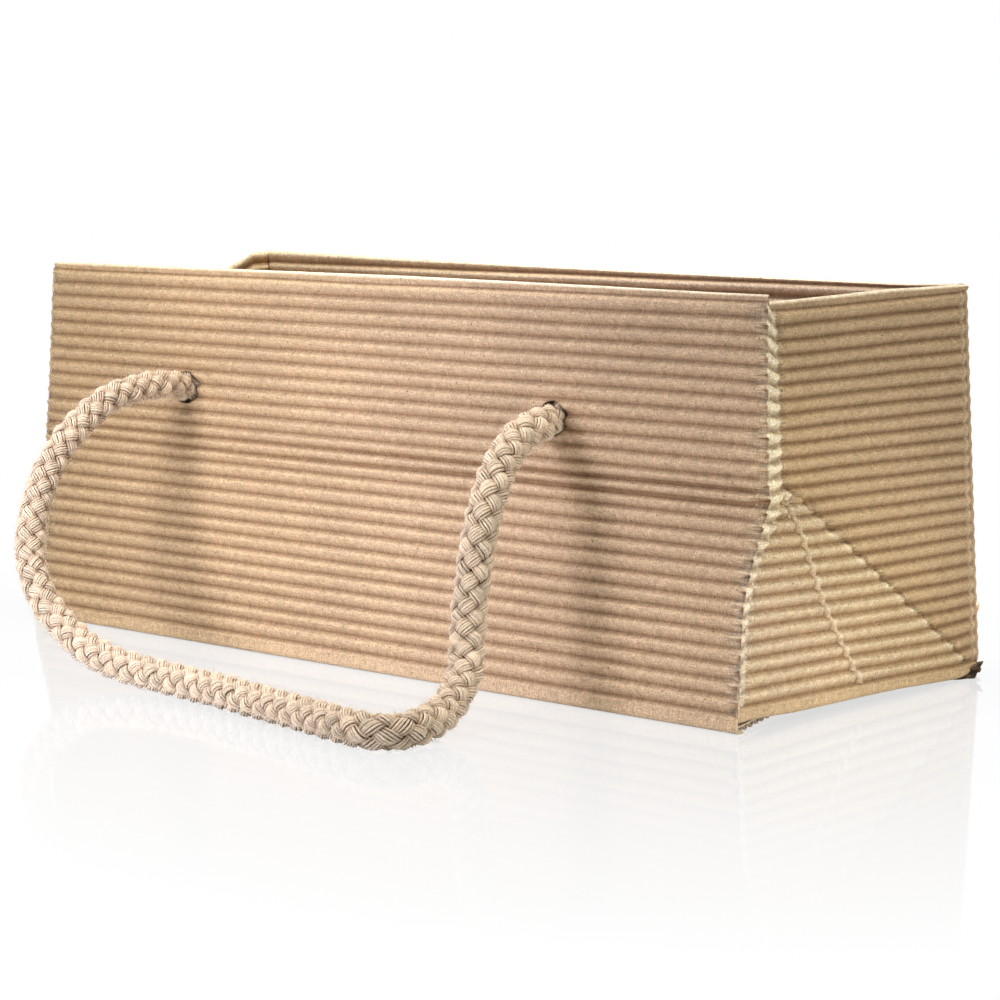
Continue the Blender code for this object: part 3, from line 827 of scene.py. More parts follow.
@dataclass
class BagShape:
    """The sizes that all four walls share.

    Grooves are flute numbers, counted from the rim, with their heights in millimetres. The fold line and
    the strip, at the front corners, are heights with the places there, in millimetres too.
    """

    board: Board = field(default_factory=Board)
    height: float = 92.0 * MM
    half_width: float = 115.0 * MM
    half_top: float = 38.75 * MM
    half_bottom: float = 47.2 * MM
    crease_height: float = 49.0 * MM
    crease_reach: float = 40.5 * MM
    hem: float = 52.5 * MM
    hole_right: float = 57.2 * MM
    hole_left: float = -62.6 * MM
    hole_height: float = 62.2 * MM
    hole_radius: float = 3.95 * MM
    waver: float = 0.12 * MM
    front_grooves: Curve = (
        (0.0, 11.0, 14.0, 25.0, 26.0),
        (90.15, 53.3, 44.5, 7.7, 4.1),
    )
    side_grooves_front: Curve = ((0.0, 12.0, 26.0), (88.15, 50.6, 5.4))
    side_grooves_back: Curve = ((0.0, 12.0, 26.0), (89.1, 49.2, 3.9))
    back_grooves: Curve = ((0.0, 26.0), (89.6, 4.0))
    fold_line: Curve = (
        (0.0, 7.5, 12.0, 20.0, 26.0, 30.0, 36.5, 40.0, 45.0, 49.0, 52.0, 64.0, 84.0, 92.0),
        (114.4, 114.0, 113.8, 113.2, 113.0, 113.3, 114.4, 115.3, 116.4, 117.0, 116.6, 115.9, 115.0, 114.6),
    )
    strip_heights: tuple[float, ...] = (
        0.0, 5.0, 12.0, 20.0, 28.6, 36.0, 43.0, 48.0, 58.0, 71.0, 85.0, 88.4, 90.5, 92.0,
    )
    strip_out: tuple[float, ...] = (
        114.9, 114.7, 114.4, 114.1, 114.1, 114.8, 116.0, 116.6, 116.3, 115.8, 115.3, 115.1, 115.0, 114.8,
    )
    strip_back: tuple[float, ...] = (
        -47.2, -46.9, -45.5, -43.6, -41.6, -39.6, -36.2, -34.4, -34.3, -34.8, -35.5, -36.1, -37.6, -38.4,
    )

    def front_reach(self, up: Array) -> Array:
        """Distance from the middle plane to the front wall's crests at each height."""
        heights = (0.0, self.crease_height, self.height)
        return np.interp(up, heights, (self.half_bottom, self.crease_reach, self.half_top))

    def back_reach(self, up: Array) -> Array:
        """Distance from the middle plane to the back wall's crests at each height."""
        return np.interp(up, (0.0, self.height), (self.half_bottom, self.half_top))

    def fold(self, up: Array) -> Array:
        """How far out along the bag's width the front corner's fold line lies at each height."""
        return along_line(up, self.fold_line)

    def strip_end(self, up: Array) -> tuple[Array, Array]:
        """Where the front corner's strip meets the side wall, out along the width and front to back."""
        heights = self.strip_heights
        return along_line(up, (heights, self.strip_out)), along_line(up, (heights, self.strip_back))

    def side_groove(self, flute: Array, run: Array) -> Array:
        """Height of a side wall's groove.

        Args:
            flute: Flute numbers, counted from the rim.
            run: Places from front to back.

        Returns:
            Heights.
        """
        front = np.interp(flute, *self.side_grooves_front) * MM
        back = np.interp(flute, *self.side_grooves_back) * MM
        share = np.clip((run + 30.0 * MM) / (64.0 * MM), -0.15, 1.15)
        return front + (back - front) * share


@dataclass
class LongWall:
    """The front or the back wall with its turned-in rim and, at the front, its pinched corners."""

    shape: BagShape
    is_front: bool
    rim: Curve
    fullness: float = 0.05 * MM
    folded_flute: float = 12.5
    crushed_length: float = 5.0 * MM
    crushed_depth: float = 0.95 * MM
    nick_flute: float = 12.75
    nick_length: float = 6.5 * MM
    nick_depth: float = 0.55 * MM

    def columns(self) -> tuple[Array, Array, Array]:
        """Spreads columns along the wall, close together towards the corners.

        Returns:
            Each column's hand, its inset from the corner's fold line and its share of the corner strip.
        """
        close = [0.0, 0.15, 0.3, 0.5, 0.75, 1.0, 1.3, 1.65, 2.0, 2.4, 2.9, 3.4, 4.0, 4.6, 5.3, 6.1, 7.0]
        inset = np.array(close + [8.5, 10.5, 13.0] + list(np.arange(16.0, 113.0, 3.0)) + [114.6]) * MM
        share = np.array([0.06, 0.12, 0.19, 0.26, 0.34, 0.42, 0.5, 0.58, 0.66, 0.74, 0.82, 0.90, 0.97, 1.0])
        hand = np.concatenate([-np.ones(len(share) + len(inset)), np.ones(len(inset) - 1 + len(share))])
        insets = np.concatenate([0.0 * share, inset, inset[-2::-1], 0.0 * share])
        shares = np.concatenate([share[::-1], 0.0 * inset, 0.0 * inset[1:], share])
        return hand[None, :], insets[None, :], shares[None, :]

    def make(self, material: bpy.types.Material, shaded: bpy.types.Material) -> bpy.types.Object:
        """Builds the wall.

        Args:
            material: The board's finish.
            shaded: The painted shade inside the cord holes, a dark copy of the board's finish.

        Returns:
            The wall, riding on the bag in place of its two CAD nodes.
        """
        shape = self.shape
        table = shape.front_grooves if self.is_front else shape.back_grooves
        last = int(table[0][-1])
        rows = WallRows.cut(shape.board, last, table[1][0] * MM - shape.hem, table[1][-1] * MM)
        hand, inset, strip = self.columns()
        span = hand * (1.0 - inset / inset.max())
        width = span.shape[1]
        wall = rows.is_in(Zone.WALL)
        outer = wall | rows.is_in(Zone.FOLD)
        seed = 7 if self.is_front else 207
        wander = flute_noise(seed, last, width, 11.0)

        def groove(flute: Array) -> Array:
            """Height of a flute number's place at each column."""
            which = np.clip(np.rint(flute), 0, last).astype(int)[:, 0]
            return np.interp(flute, *table) * MM + shape.waver * wander[which]

        top = along_line(span * shape.half_width, self.rim)
        up = rows.heights(groove, last, top, np.zeros((1, 1)), shape.hem)
        reach = shape.front_reach(up) if self.is_front else shape.back_reach(up)
        fold = shape.fold(up) if self.is_front else 0.0 * up + shape.half_width - shape.board.thickness
        corner = np.minimum(shape.half_width, shape.fold(up)) if self.is_front else shape.half_width
        inner_end = corner - np.maximum(-rows.out[:, None], 0.4 * MM) - 0.15 * MM
        fold = fold + (inner_end - fold) * rows.turned(outer)
        run = span * fold
        coat = rows.coat(width)
        swell = rows.swell(seed + 50, last, width, 6.0)
        coat.push(wall, self.fullness * swell * coat.wave)
        near = np.where(strip > 0.0, 0.0, inset) + 0.0 * run
        if self.is_front:
            self.crush_ends(coat, rows, near, run, hand)
        else:
            flat = smooth(0.5 * MM, 5.0 * MM, near)
            pressed = -shape.board.rise * (1.0 - coat.wave * (0.35 + 0.65 * flat)) - 0.6 * MM * (1.0 - flat)
            coat.out = np.where(wall, pressed, coat.out)
        rows.paint_rim_wear_light_and_shade(coat)

        away = reach + coat.out
        places = np.stack([run, -away if self.is_front else away, up], axis=-1)
        on_strip = (strip > 0.0) & outer
        if self.is_front:
            self.shape_strip(places, coat, rows, on_strip, hand * strip, fold)
        else:
            places[..., 0] = np.where(on_strip, hand * (fold + 0.5 * MM * strip), places[..., 0])
            places[..., 1] = np.where(on_strip, places[..., 1] - 1.0 * MM * strip, places[..., 1])
        tucked = (strip > 0.0) & ~outer
        places[..., 0] = np.where(tucked, hand * (fold + 0.02 * MM * strip), places[..., 0])
        arc = rows.arc[:, None] + 0.0 * run
        mark = run + hand * strip * 4.0 * MM
        name = "front" if self.is_front else "back"
        tone = np.clip(coat.tone, 0.0, 1.0)
        sheet = SheetMesh(f"{name}_wall_board", places, mark, arc, tone, coat.wear_and_highlight, coat.crush)
        piece = sheet.make(material, flip=self.is_front)
        self.drill(piece, shaded)
        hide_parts(f"{name}_panel", f"{name}_hem")
        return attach(piece, "bag")

    def crush_ends(self, coat: Coat, rows: WallRows, near: Array, run: Array, hand: Array) -> None:
        """Dents the front wall at its old fold, its flutes' crushed ends and one nick, with painted shade in
        the dents and a fold line and crushed ends made paler by wear and painted highlight.

        Args:
            coat: The wall's coat.
            rows: Its rows.
            near: Distance from the corner's fold line.
            run: Places along the wall.
            hand: 1 on the right half and -1 on the left.
        """
        wall = rows.is_in(Zone.WALL)
        middle = hump(rows.flute[:, None], self.folded_flute, 0.8)
        middle = middle * (0.35 + 0.65 * smooth(-60.0 * MM, 70.0 * MM, run))
        coat.push(wall, -0.40 * MM * middle * (1.0 - coat.wave))
        # Painted shade in the old fold's grooves.
        coat.paint_shade(wall, 0.34 * middle * (1.0 - coat.wave**2))
        rough = rows.uneven(5, int(self.shape.front_grooves[0][-1]))
        lens = hump((rows.flute % 1.0)[:, None], 0.50, 0.17)
        closing = 1.0 - smooth(0.1 * MM, self.crushed_length * rough, near)
        closing = closing * np.where(hand > 0.0, 1.0, 0.45)
        coat.push(wall, -self.crushed_depth * lens * np.clip(rough, 0.7, 1.15) * closing**1.2)
        # Painted shade in the crushed crests' dents and along the corner's fold line.
        coat.paint_shade(wall, 0.80 * lens * closing**1.5 + 0.30 * (1.0 - smooth(0.0, 1.6 * MM, near)))
        coat.crumple(wall, closing**0.8)
        nick = hump(rows.flute[:, None], self.nick_flute, 0.30) * (hand > 0.0)
        nick = nick * (1.0 - smooth(0.5 * MM, self.nick_length, near))
        coat.push(wall, -self.nick_depth * nick)
        # Painted shade in the nick.
        coat.paint_shade(wall, 0.85 * nick)
        # A pale fold line and paler crushed ends, of wear and painted highlight.
        coat.rub_and_highlight(wall | rows.is_in(Zone.FOLD), 0.75 * (1.0 - smooth(0.0, 0.45 * MM, near)))
        coat.rub_and_highlight(wall, 0.28 * closing**1.2 * (1.0 - lens) * (1.0 - nick))

    def shape_strip(
        self, places: Array, coat: Coat, rows: WallRows, on_strip: Array, share: Array, fold: Array
    ) -> None:
        """Turns the front wall's last strip round the corner, with its flutes' ends pinched, painted
        highlight on them and painted shade between them.

        Args:
            places: The wall's places, which are changed.
            coat: Its coat.
            rows: Its rows.
            on_strip: Which places lie on the strip.
            share: Share of the way across the strip, negative at the left corner.
            fold: How far out the corner's fold line lies.
        """
        hand, strip, up = np.sign(share), np.abs(share), places[..., 2]
        end_x, end_y = self.shape.strip_end(up)
        start_y = 0.35 * MM - self.shape.front_reach(up)
        crest = coat.wave**0.9
        t = strip * (1.0 - 0.34 * (1.0 - crest) * smooth(0.35, 1.0, strip))
        across_x, across_y = end_x - fold, end_y - start_y
        length = np.maximum(np.hypot(across_x, across_y), 0.3 * MM)
        side_up = self.shape.side_groove(rows.flute[:, None], np.array([[-30.0 * MM]]))
        level = up + (side_up - up) * smooth(0.0, 0.75, strip)
        up = np.where(on_strip & rows.is_in(Zone.WALL), level, up)
        bulb = np.sin(np.pi * np.clip(strip * 1.05, 0.0, 1.0)) ** 0.7
        lift = (0.05 + bulb * (1.25 * crest - 0.25) - (1.7 - 0.6 * crest) * smooth(0.80, 1.0, strip)) * MM
        lift = lift * np.clip(length / (3.4 * MM), 0.25, 1.0)
        strip_x = hand * (fold + across_x * t + np.abs(across_y) / length * lift)
        strip_y = start_y + across_y * t - across_x / length * lift
        places[..., 0] = np.where(on_strip, strip_x, places[..., 0])
        places[..., 1] = np.where(on_strip, strip_y, places[..., 1])
        places[..., 2] = up
        # Painted highlight on the pinched flute ends, weaker lower down, and painted shade between them.
        strip_highlight = (0.22 + 1.10 * crest**1.8) * (1.0 - 0.25 * smooth(0.75, 0.97, strip))
        strip_highlight = strip_highlight * (0.60 + 0.40 * smooth(38.0 * MM, 50.0 * MM, up))
        coat.wear_and_highlight = np.where(on_strip, strip_highlight, coat.wear_and_highlight)
        coat.crush = np.where(on_strip, 0.45, coat.crush)
        coat.tone = np.where(on_strip, 0.04 + 0.96 * coat.wave**1.3, coat.tone)

    def drill(self, piece: bpy.types.Object, shaded: bpy.types.Material) -> None:
        """Cuts the two cord holes.

        Args:
            piece: The wall.
            shaded: The painted shade inside the holes.
        """
        shape = self.shape
        drills = bmesh.new()
        for run in (shape.hole_right, shape.hole_left):
            radius = shape.hole_radius
            bit = bmesh.ops.create_cone(
                drills, cap_ends=True, segments=40, radius1=radius, radius2=radius, depth=30.0 * MM
            )["verts"]
            bmesh.ops.rotate(drills, verts=bit, cent=(0, 0, 0), matrix=Matrix.Rotation(math.pi / 2.0, 3, "X"))
            away = -38.0 * MM if self.is_front else 38.0 * MM
            bmesh.ops.translate(drills, verts=bit, vec=(run, away, shape.hole_height))
        mesh = bpy.data.meshes.new("drills")
        drills.to_mesh(mesh)
        drills.free()
        # The cut faces inside the holes take the painted shade.
        mesh.materials.append(shaded)
        tool = place_object("drills", mesh)
        cut = piece.modifiers.new("holes", "BOOLEAN")
        cut.operation, cut.solver, cut.object = "DIFFERENCE", "EXACT", tool
        cut.material_mode = "TRANSFER"
        drilled = piece.evaluated_get(bpy.context.evaluated_depsgraph_get())
        old = piece.data
        piece.data = bpy.data.meshes.new_from_object(drilled)
        piece.modifiers.clear()
        bpy.data.meshes.remove(old)
        bpy.data.objects.remove(tool)
        bpy.data.meshes.remove(mesh)


@dataclass
class Creases:
    """The marks of a side wall's two pressed diagonal creases, rows by columns.

    above is the distance above the long crease. notch and scrap are the dent above it and the raised
    paper below it, line and ridge are the short crease's dent and its standing edge.
    """

    above: Array
    notch: Array
    scrap: Array
    line: Array
    ridge: Array

    @staticmethod
    def distance(line: tuple[tuple[float, float], ...], run: Array, up: Array) -> Array:
        """Signed distance from a crease, positive above it.

        Args:
            line: The crease's points, in millimetres.
            run: Places from front to back.
            up: Heights.

        Returns:
            The distance at each place.
        """
        best = np.full_like(run, 1.0)
        for start, end in zip(line, line[1:]):
            a, b = np.array(start) * MM, np.array(end) * MM
            along = b - a
            share = np.clip(((run - a[0]) * along[0] + (up - a[1]) * along[1]) / along.dot(along), 0.0, 1.0)
            away = np.hypot(run - a[0] - share * along[0], up - a[1] - share * along[1])
            side = np.sign((up - a[1]) * along[0] - (run - a[0]) * along[1])
            best = np.where(away < np.abs(best), away * side, best)
        return best

    def press(self, coat: Coat, wall: Array, rise: float) -> None:
        """Presses the creases into the flutes, with painted shade in their dents and a painted shadow above
        the long crease.

        Args:
            coat: The wall's coat.
            wall: Which rows are the wall's own.
            rise: The flutes' height.
        """
        coat.push(wall, (-0.70 * self.notch + 0.32 * self.scrap - 0.60 * self.line) * MM)
        coat.push(wall, (0.10 * MM + 0.50 * rise * (1.0 - coat.wave)) * self.ridge)
        # Painted shadow above the long crease, and painted shade in the notches and the short crease's dent.
        shade = 0.16 * np.where(self.above > 0.0, np.exp(-np.abs(self.above) / (9.0 * MM)), 0.0)
        coat.paint_shade(wall, 0.80 * self.notch + 0.85 * self.line + shade)
        coat.crumple(wall, 0.8 * hump(self.above, 0.0, 1.3 * MM))

    def rub_and_highlight(self, coat: Coat, wall: Array) -> None:
        """Makes the creases' edges paler, with wear and painted highlight, and the triangle below the long
        one paler with painted light.

        Args:
            coat: The wall's coat.
            wall: Which rows are the wall's own.
        """
        coat.tone = np.where(wall, np.maximum(coat.tone, 0.65 * self.ridge), coat.tone)
        coat.rub_and_highlight(wall, 0.36 * self.ridge + 0.60 * self.scrap)
        # Painted light: the triangle below the long crease is paler, most on its crests.
        below = (1.0 - smooth(-1.0 * MM, 0.1 * MM, self.above)) * (1.0 - 0.8 * self.line)
        coat.wear_and_highlight = coat.wear_and_highlight + np.where(wall, 0.30 * coat.wave**2 * below, 0.0)


@dataclass
class SideWall:
    """The right or the left wall with its turned-in rim and pressed diagonal creases."""

    shape: BagShape
    hand: float
    rim: Curve
    sag: Curve = ((-37.0, 37.0), (0.0, 0.0))
    long_crease: tuple[tuple[float, float], ...] = (
        (-33.2, 51.1), (-22.0, 44.0), (4.0, 27.1), (20.1, 16.1), (39.5, 3.4),
    )
    short_crease: tuple[tuple[float, float], ...] = ((-32.5, 48.7), (-29.6, 44.3), (-15.8, 22.8), (0.1, 2.1))
    edge: Curve = (
        (0.0, 12.0, 20.0, 26.0, 30.0, 40.0, 49.0, 90.0),
        (-0.4, -0.9, -1.3, -1.3, -1.0, 0.4, 1.5, 0.5),
    )
    low_edge: Curve = (
        (-46.0, -41.0, -34.0, -25.0, -7.0, 12.6, 33.0, 40.0, 45.0),
        (1.9, 2.2, 2.0, 1.5, 1.3, 1.2, 0.5, 0.6, 1.1),
    )
    first_groove: float = 88.6 * MM
    last_groove: float = 3.4 * MM
    length: float = 84.0 * MM
    spacing: float = 0.42 * MM
    fullness: float = 0.06 * MM
    crumple_run: float = -32.0 * MM
    crumple_height: float = 46.5 * MM

    def make(self, material: bpy.types.Material) -> bpy.types.Object:
        """Builds the wall.

        Args:
            material: The board's finish.

        Returns:
            The wall, riding on the bag in place of its two CAD nodes.
        """
        shape = self.shape
        last = int(shape.side_grooves_front[0][-1])
        rows = WallRows.cut(shape.board, last, self.first_groove - shape.hem, self.last_groove)
        width = int(self.length / self.spacing)
        share = np.linspace(0.0, 1.0, width)[None, :]
        wall = rows.is_in(Zone.WALL)
        outer = wall | rows.is_in(Zone.FOLD)
        rough_run = -45.0 * MM + 90.0 * MM * share
        wander = flute_noise(77, last, width, 42.0)

        def groove(flute: Array) -> Array:
            """Height of a flute number's place at each column."""
            which = np.clip(np.rint(flute), 0, last).astype(int)[:, 0]
            return shape.side_groove(flute, rough_run) + shape.waver * wander[which]

        top, low = along_line(rough_run, self.rim), along_line(rough_run, self.low_edge)
        up = rows.heights(groove, last, top, low, shape.hem)
        sag = along_line(rough_run, self.sag) * smooth(40.0 * MM, 90.0 * MM, up)
        up = up - sag
        start = np.maximum(shape.strip_end(up)[1] - 1.3 * MM, 1.1 * MM - shape.front_reach(up))
        end = shape.back_reach(up) - 0.5 * MM
        inset = 0.25 * MM - rows.out[:, None]
        turned = rows.turned(outer)
        start = start + (inset - shape.front_reach(up) - start) * turned
        end = end + (shape.back_reach(up) - inset - end) * turned
        run = start + (end - start) * share

        coat = rows.coat(width)
        coat.push(wall, self.fullness * rows.swell(277, last, width, 30.0) * coat.wave)
        creases = self.creases(coat.wave, run, up)
        creases.press(coat, wall, shape.board.rise)
        self.press_ends(coat, rows, run - start, end - run, up)
        coat.push(outer | rows.is_in(Zone.LINER), self.bend(creases.above, start, end, run, up))
        creases.rub_and_highlight(coat, wall)
        coat.crumple(wall, hump(run, self.crumple_run, 4.0 * MM) * hump(up, self.crumple_height, 3.5 * MM))
        rows.paint_rim_wear_light_and_shade(coat)
        places = np.stack([self.hand * (shape.half_width + coat.out - sag), run, up], axis=-1)
        name = "right" if self.hand > 0 else "left"
        arc, tone = rows.arc[:, None] + 0.0 * run, np.clip(coat.tone, 0.0, 1.0)
        sheet = SheetMesh(f"{name}_side_wall_board", places, run, arc, tone, coat.wear_and_highlight, coat.crush)
        piece = sheet.make(material, flip=self.hand < 0)
        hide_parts(f"{name}_side_panel", f"{name}_hem")
        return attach(piece, "bag")

    def creases(self, wave: Array, run: Array, up: Array) -> Creases:
        """Finds the creases' marks.

        Args:
            wave: The flutes' height.
            run: Places from front to back.
            up: Heights.

        Returns:
            The marks.
        """
        ragged = np.interp(run, np.linspace(-50.0, 50.0, 160) * MM, soft_noise(93, 160, 2.2))
        above = Creases.distance(self.long_crease, run, up) + 0.30 * MM * ragged
        beside = Creases.distance(self.short_crease, run, up)
        notch = (0.25 + 0.75 * wave) * (0.75 + 0.35 * ragged) * hump(above, 0.30 * MM, 0.55 * MM)
        scrap = wave * hump(above, -0.75 * MM, 0.55 * MM)
        line, ridge = hump(beside, -0.30 * MM, 0.40 * MM), hump(beside, 0.42 * MM, 0.36 * MM)
        return Creases(above, notch, scrap, line, ridge)

    def bend(self, above: Array, start: Array, end: Array, run: Array, up: Array) -> Array:
        """How far the wall bends outwards at its front edge and along the long crease.

        Args:
            above: Distance above the long crease.
            start: The wall's front edge.
            end: Its back edge.
            run: Places from front to back.
            up: Heights.

        Returns:
            The bend at each place.
        """
        places, heights = np.array(self.long_crease).T * MM
        crossing = np.interp(-up, -heights, places)
        reach = np.where(up > self.shape.crease_height, 20.0 * MM, np.maximum(crossing - start, 8.0 * MM))
        bend = along_line(up, self.edge) * np.clip(1.0 - (run - start) / reach, 0.0, 1.0)
        fading = smooth(0.0, 14.0 * MM, run - start) * smooth(0.0, 14.0 * MM, end - run)
        return bend + 2.0 * MM * np.clip(1.0 - np.abs(above) / (24.0 * MM), 0.0, 1.0) * fading

    def press_ends(self, coat: Coat, rows: WallRows, from_start: Array, from_end: Array, up: Array) -> None:
        """Tucks the front edge behind the corner's strip, and presses the back edge flat, with a painted
        shadow beside the strip, a painted shade line at the back press and pale edges of wear and painted
        highlight.

        Args:
            coat: The wall's coat.
            rows: Its rows.
            from_start: Distance from the front edge.
            from_end: Distance from the back edge.
            up: Heights.
        """
        rise, wave = self.shape.board.rise, coat.wave
        wall, fold = rows.is_in(Zone.WALL), rows.is_in(Zone.FOLD)
        rough = rows.uneven(15, int(self.shape.side_grooves_front[0][-1]))
        flat = 0.5 * (1.0 - smooth(1.5 * MM, 4.0 * MM, from_start)) * (up < 48.0 * MM)
        coat.out = np.where(wall, coat.out * (1.0 - flat) - rise * 0.35 * flat, coat.out)
        coat.push(wall | fold, -1.3 * MM * (1.0 - smooth(0.1 * MM, 1.6 * MM, from_start)))
        coat.push(wall, -0.75 * MM * wave * hump(from_start, 2.0 * MM, 0.65 * MM * rough))
        strip = smooth(0.0, 0.4 * MM, 2.9 * MM - from_end)
        press = hump(from_end, 3.0 * MM, 0.42 * MM)
        pressed = coat.out * (1.0 - 0.78 * strip) - 0.20 * MM * strip - 0.22 * MM * press * wave
        coat.out = np.where(wall, pressed, coat.out)
        coat.push(wall | fold, -1.2 * MM * (1.0 - smooth(0.0, 1.5 * MM, from_end)) ** 2)
        coat.push(fold, -0.9 * MM * (1.0 - smooth(0.0, 3.0 * MM, from_end)))
        # Painted shadow beside the corner strip; the flattened back strip gets an even middle tone and a
        # painted shade line at its press.
        coat.paint_shade(wall, 0.45 * wave * hump(from_start, 1.9 * MM, 0.5 * MM))
        coat.tone = np.where(wall, coat.tone + (0.62 - coat.tone) * 0.55 * strip, coat.tone)
        coat.paint_shade(wall, 0.55 * hump(from_end, 2.35 * MM, 0.34 * MM))
        # Pale front edge and back press, of wear and painted highlight.
        coat.rub_and_highlight(wall, 0.40 * hump(from_start, 1.2 * MM, 0.7 * MM) + 0.35 * press)
        coat.crumple(wall, 1.0 - smooth(1.0 * MM, 4.2 * MM, from_start))


@dataclass
class FlapBoard:
    """A cut flap of board as two papers, the fluted one outside, with its cells open at the cut ends.

    first and last are the flap's borders across its flutes, start and end its cut ends along them. The
    liner reaches liner_past over the flutes' ends, which are rubbed pale for about worn_length.
    """

    name: str
    nodes: tuple[str, ...]
    place: Callable[[Array, Array, Array], Array]
    first: float
    last: float
    start: Callable[[Array], Array]
    end: Callable[[Array], Array]
    columns: int = 44
    paper: float = 0.30 * MM
    liner_past: float = 0.15 * MM
    waver: float = 0.06 * MM
    worn_length: float = 0.12 * MM

    def make(self, board: Board, material: bpy.types.Material) -> list[bpy.types.Object]:
        """Builds the two papers.

        Args:
            board: The board.
            material: Its finish.

        Returns:
            The fluted paper and the liner, riding on the bag.
        """
        count = round((self.last - self.first) / board.pitch)
        across = np.linspace(self.first, self.last, count * 10 + 1)
        wave = board.wave((across - self.first) / (self.last - self.first) * count)
        outer = board.rise * (1.0 - wave)
        flat = np.linspace(self.first, self.last, 12)
        level = board.thickness - self.paper
        lengthwise = np.linspace(0.0, 1.0, self.columns)[None, :]
        pieces = []
        for label, ways, heights, tones in (
            (
                "flutes",
                np.concatenate([across, across[::-1]]),
                np.concatenate([outer, outer[::-1] + self.paper]),
                np.concatenate([wave, wave[::-1]]),
            ),
            (
                "liner",
                np.concatenate([flat, flat[::-1]]),
                np.concatenate([0.0 * flat + level, 0.0 * flat + board.thickness]),
                np.full(2 * len(flat), 0.85),
            ),
        ):
            low, high = self.start(ways)[:, None], self.end(ways)[:, None]
            if label == "liner":
                low, high = low - self.liner_past, high + self.liner_past
            run = low + (high - low) * lengthwise
            uneven = np.stack([soft_noise(31 + k % 7, self.columns, 6.0) for k in range(len(ways))])
            lift = np.abs(self.waver * uneven)
            places = self.place(run, ways[:, None] + 0.0 * run, heights[:, None] + lift)
            arc = np.repeat(ways[:, None], self.columns, axis=1)
            tone = 0.55 * np.repeat(tones[:, None], self.columns, axis=1)
            ends = np.minimum(run - low, high - run)
            wear_and_highlight = 0.4 * np.exp(-ends / self.worn_length)
            sheet = SheetMesh(f"{self.name}_{label}", places, run, arc, tone, wear_and_highlight, 0.3 + 0.0 * run)
            piece = sheet.make(material, flip=False)
            work = bmesh.new()
            work.from_mesh(piece.data)
            bmesh.ops.recalc_face_normals(work, faces=work.faces)
            work.to_mesh(piece.data)
            work.free()
            pieces.append(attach(piece, "bag"))
        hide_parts(*self.nodes)
        return pieces


@dataclass
class Bottom:
    """The four bottom flaps and the strip that closes the blank.

    A flap's sizes are taken from its fold. layer is how far a board stands off the one that it lies on.
    """

    shape: BagShape
    flap_start: float = 1.4 * MM
    flap_gap: float = 0.2 * MM
    long_end: float = 114.2 * MM
    long_taper: float = 16.0
    tip_end: float = 116.6 * MM
    tip_slope: float = 1.1
    side_gap: float = 2.2 * MM
    side_taper: float = 8.0
    layer: float = 1.9 * MM
    strip_heights: tuple[float, float] = (3.9 * MM, 52.2 * MM)
    strip_ends: tuple[float, float] = (-113.1 * MM, -99.1 * MM)

    def make(self, material: bpy.types.Material) -> list[bpy.types.Object]:
        """Builds the flaps.

        Args:
            material: The board's finish.

        Returns:
            Their pieces.
        """
        shape = self.shape
        taper, side_taper = (math.tan(math.radians(lean)) for lean in (self.long_taper, self.side_taper))
        half, wide, layer = shape.half_bottom, shape.half_width, self.layer

        def stack(x: Array, y: Array, z: Array) -> Array:
            """Places from their three parts."""
            return np.stack(np.broadcast_arrays(x, y, z), axis=-1)

        def front_end(way: Array) -> Array:
            """Where the front flap ends, at each distance from its fold."""
            return self.long_end - way * taper

        def back_end(way: Array) -> Array:
            """Where the back flap ends, with its pinched tip at the fold."""
            return np.maximum(front_end(way), self.tip_end - way * self.tip_slope)

        def side_end(way: Array) -> Array:
            """Where a side flap ends, at each distance from its fold."""
            return half - self.side_gap - way * side_taper

        pieces = []
        for name, place, depth, end in (
            ("front", lambda r, w, h: stack(r, w - half, h), half, front_end),
            ("back", lambda r, w, h: stack(r, half - w, h), half, back_end),
            ("right", lambda r, w, h: stack(wide - w, r, h + layer), wide, side_end),
            ("left", lambda r, w, h: stack(w - wide, r, h + layer), wide, side_end),
        ):
            flap = FlapBoard(
                f"{name}_bottom_flap",
                (f"{name}_bottom_flap",),
                place,
                self.flap_start,
                depth - self.flap_gap,
                lambda w, e=end: -e(w),
                end,
            )
            pieces += flap.make(shape.board, material)
        lean = (shape.half_bottom - shape.half_top) / shape.height
        strip = FlapBoard(
            "closing_strip",
            ("glue_flap",),
            lambda r, w, h: stack(r, shape.back_reach(w) - layer - h, w - h * lean),
            *self.strip_heights,
            lambda w: self.strip_ends[0] + 0.0 * w,
            lambda w: self.strip_ends[1] + 0.0 * w,
            columns=16,
        )
        return pieces + strip.make(shape.board, material)


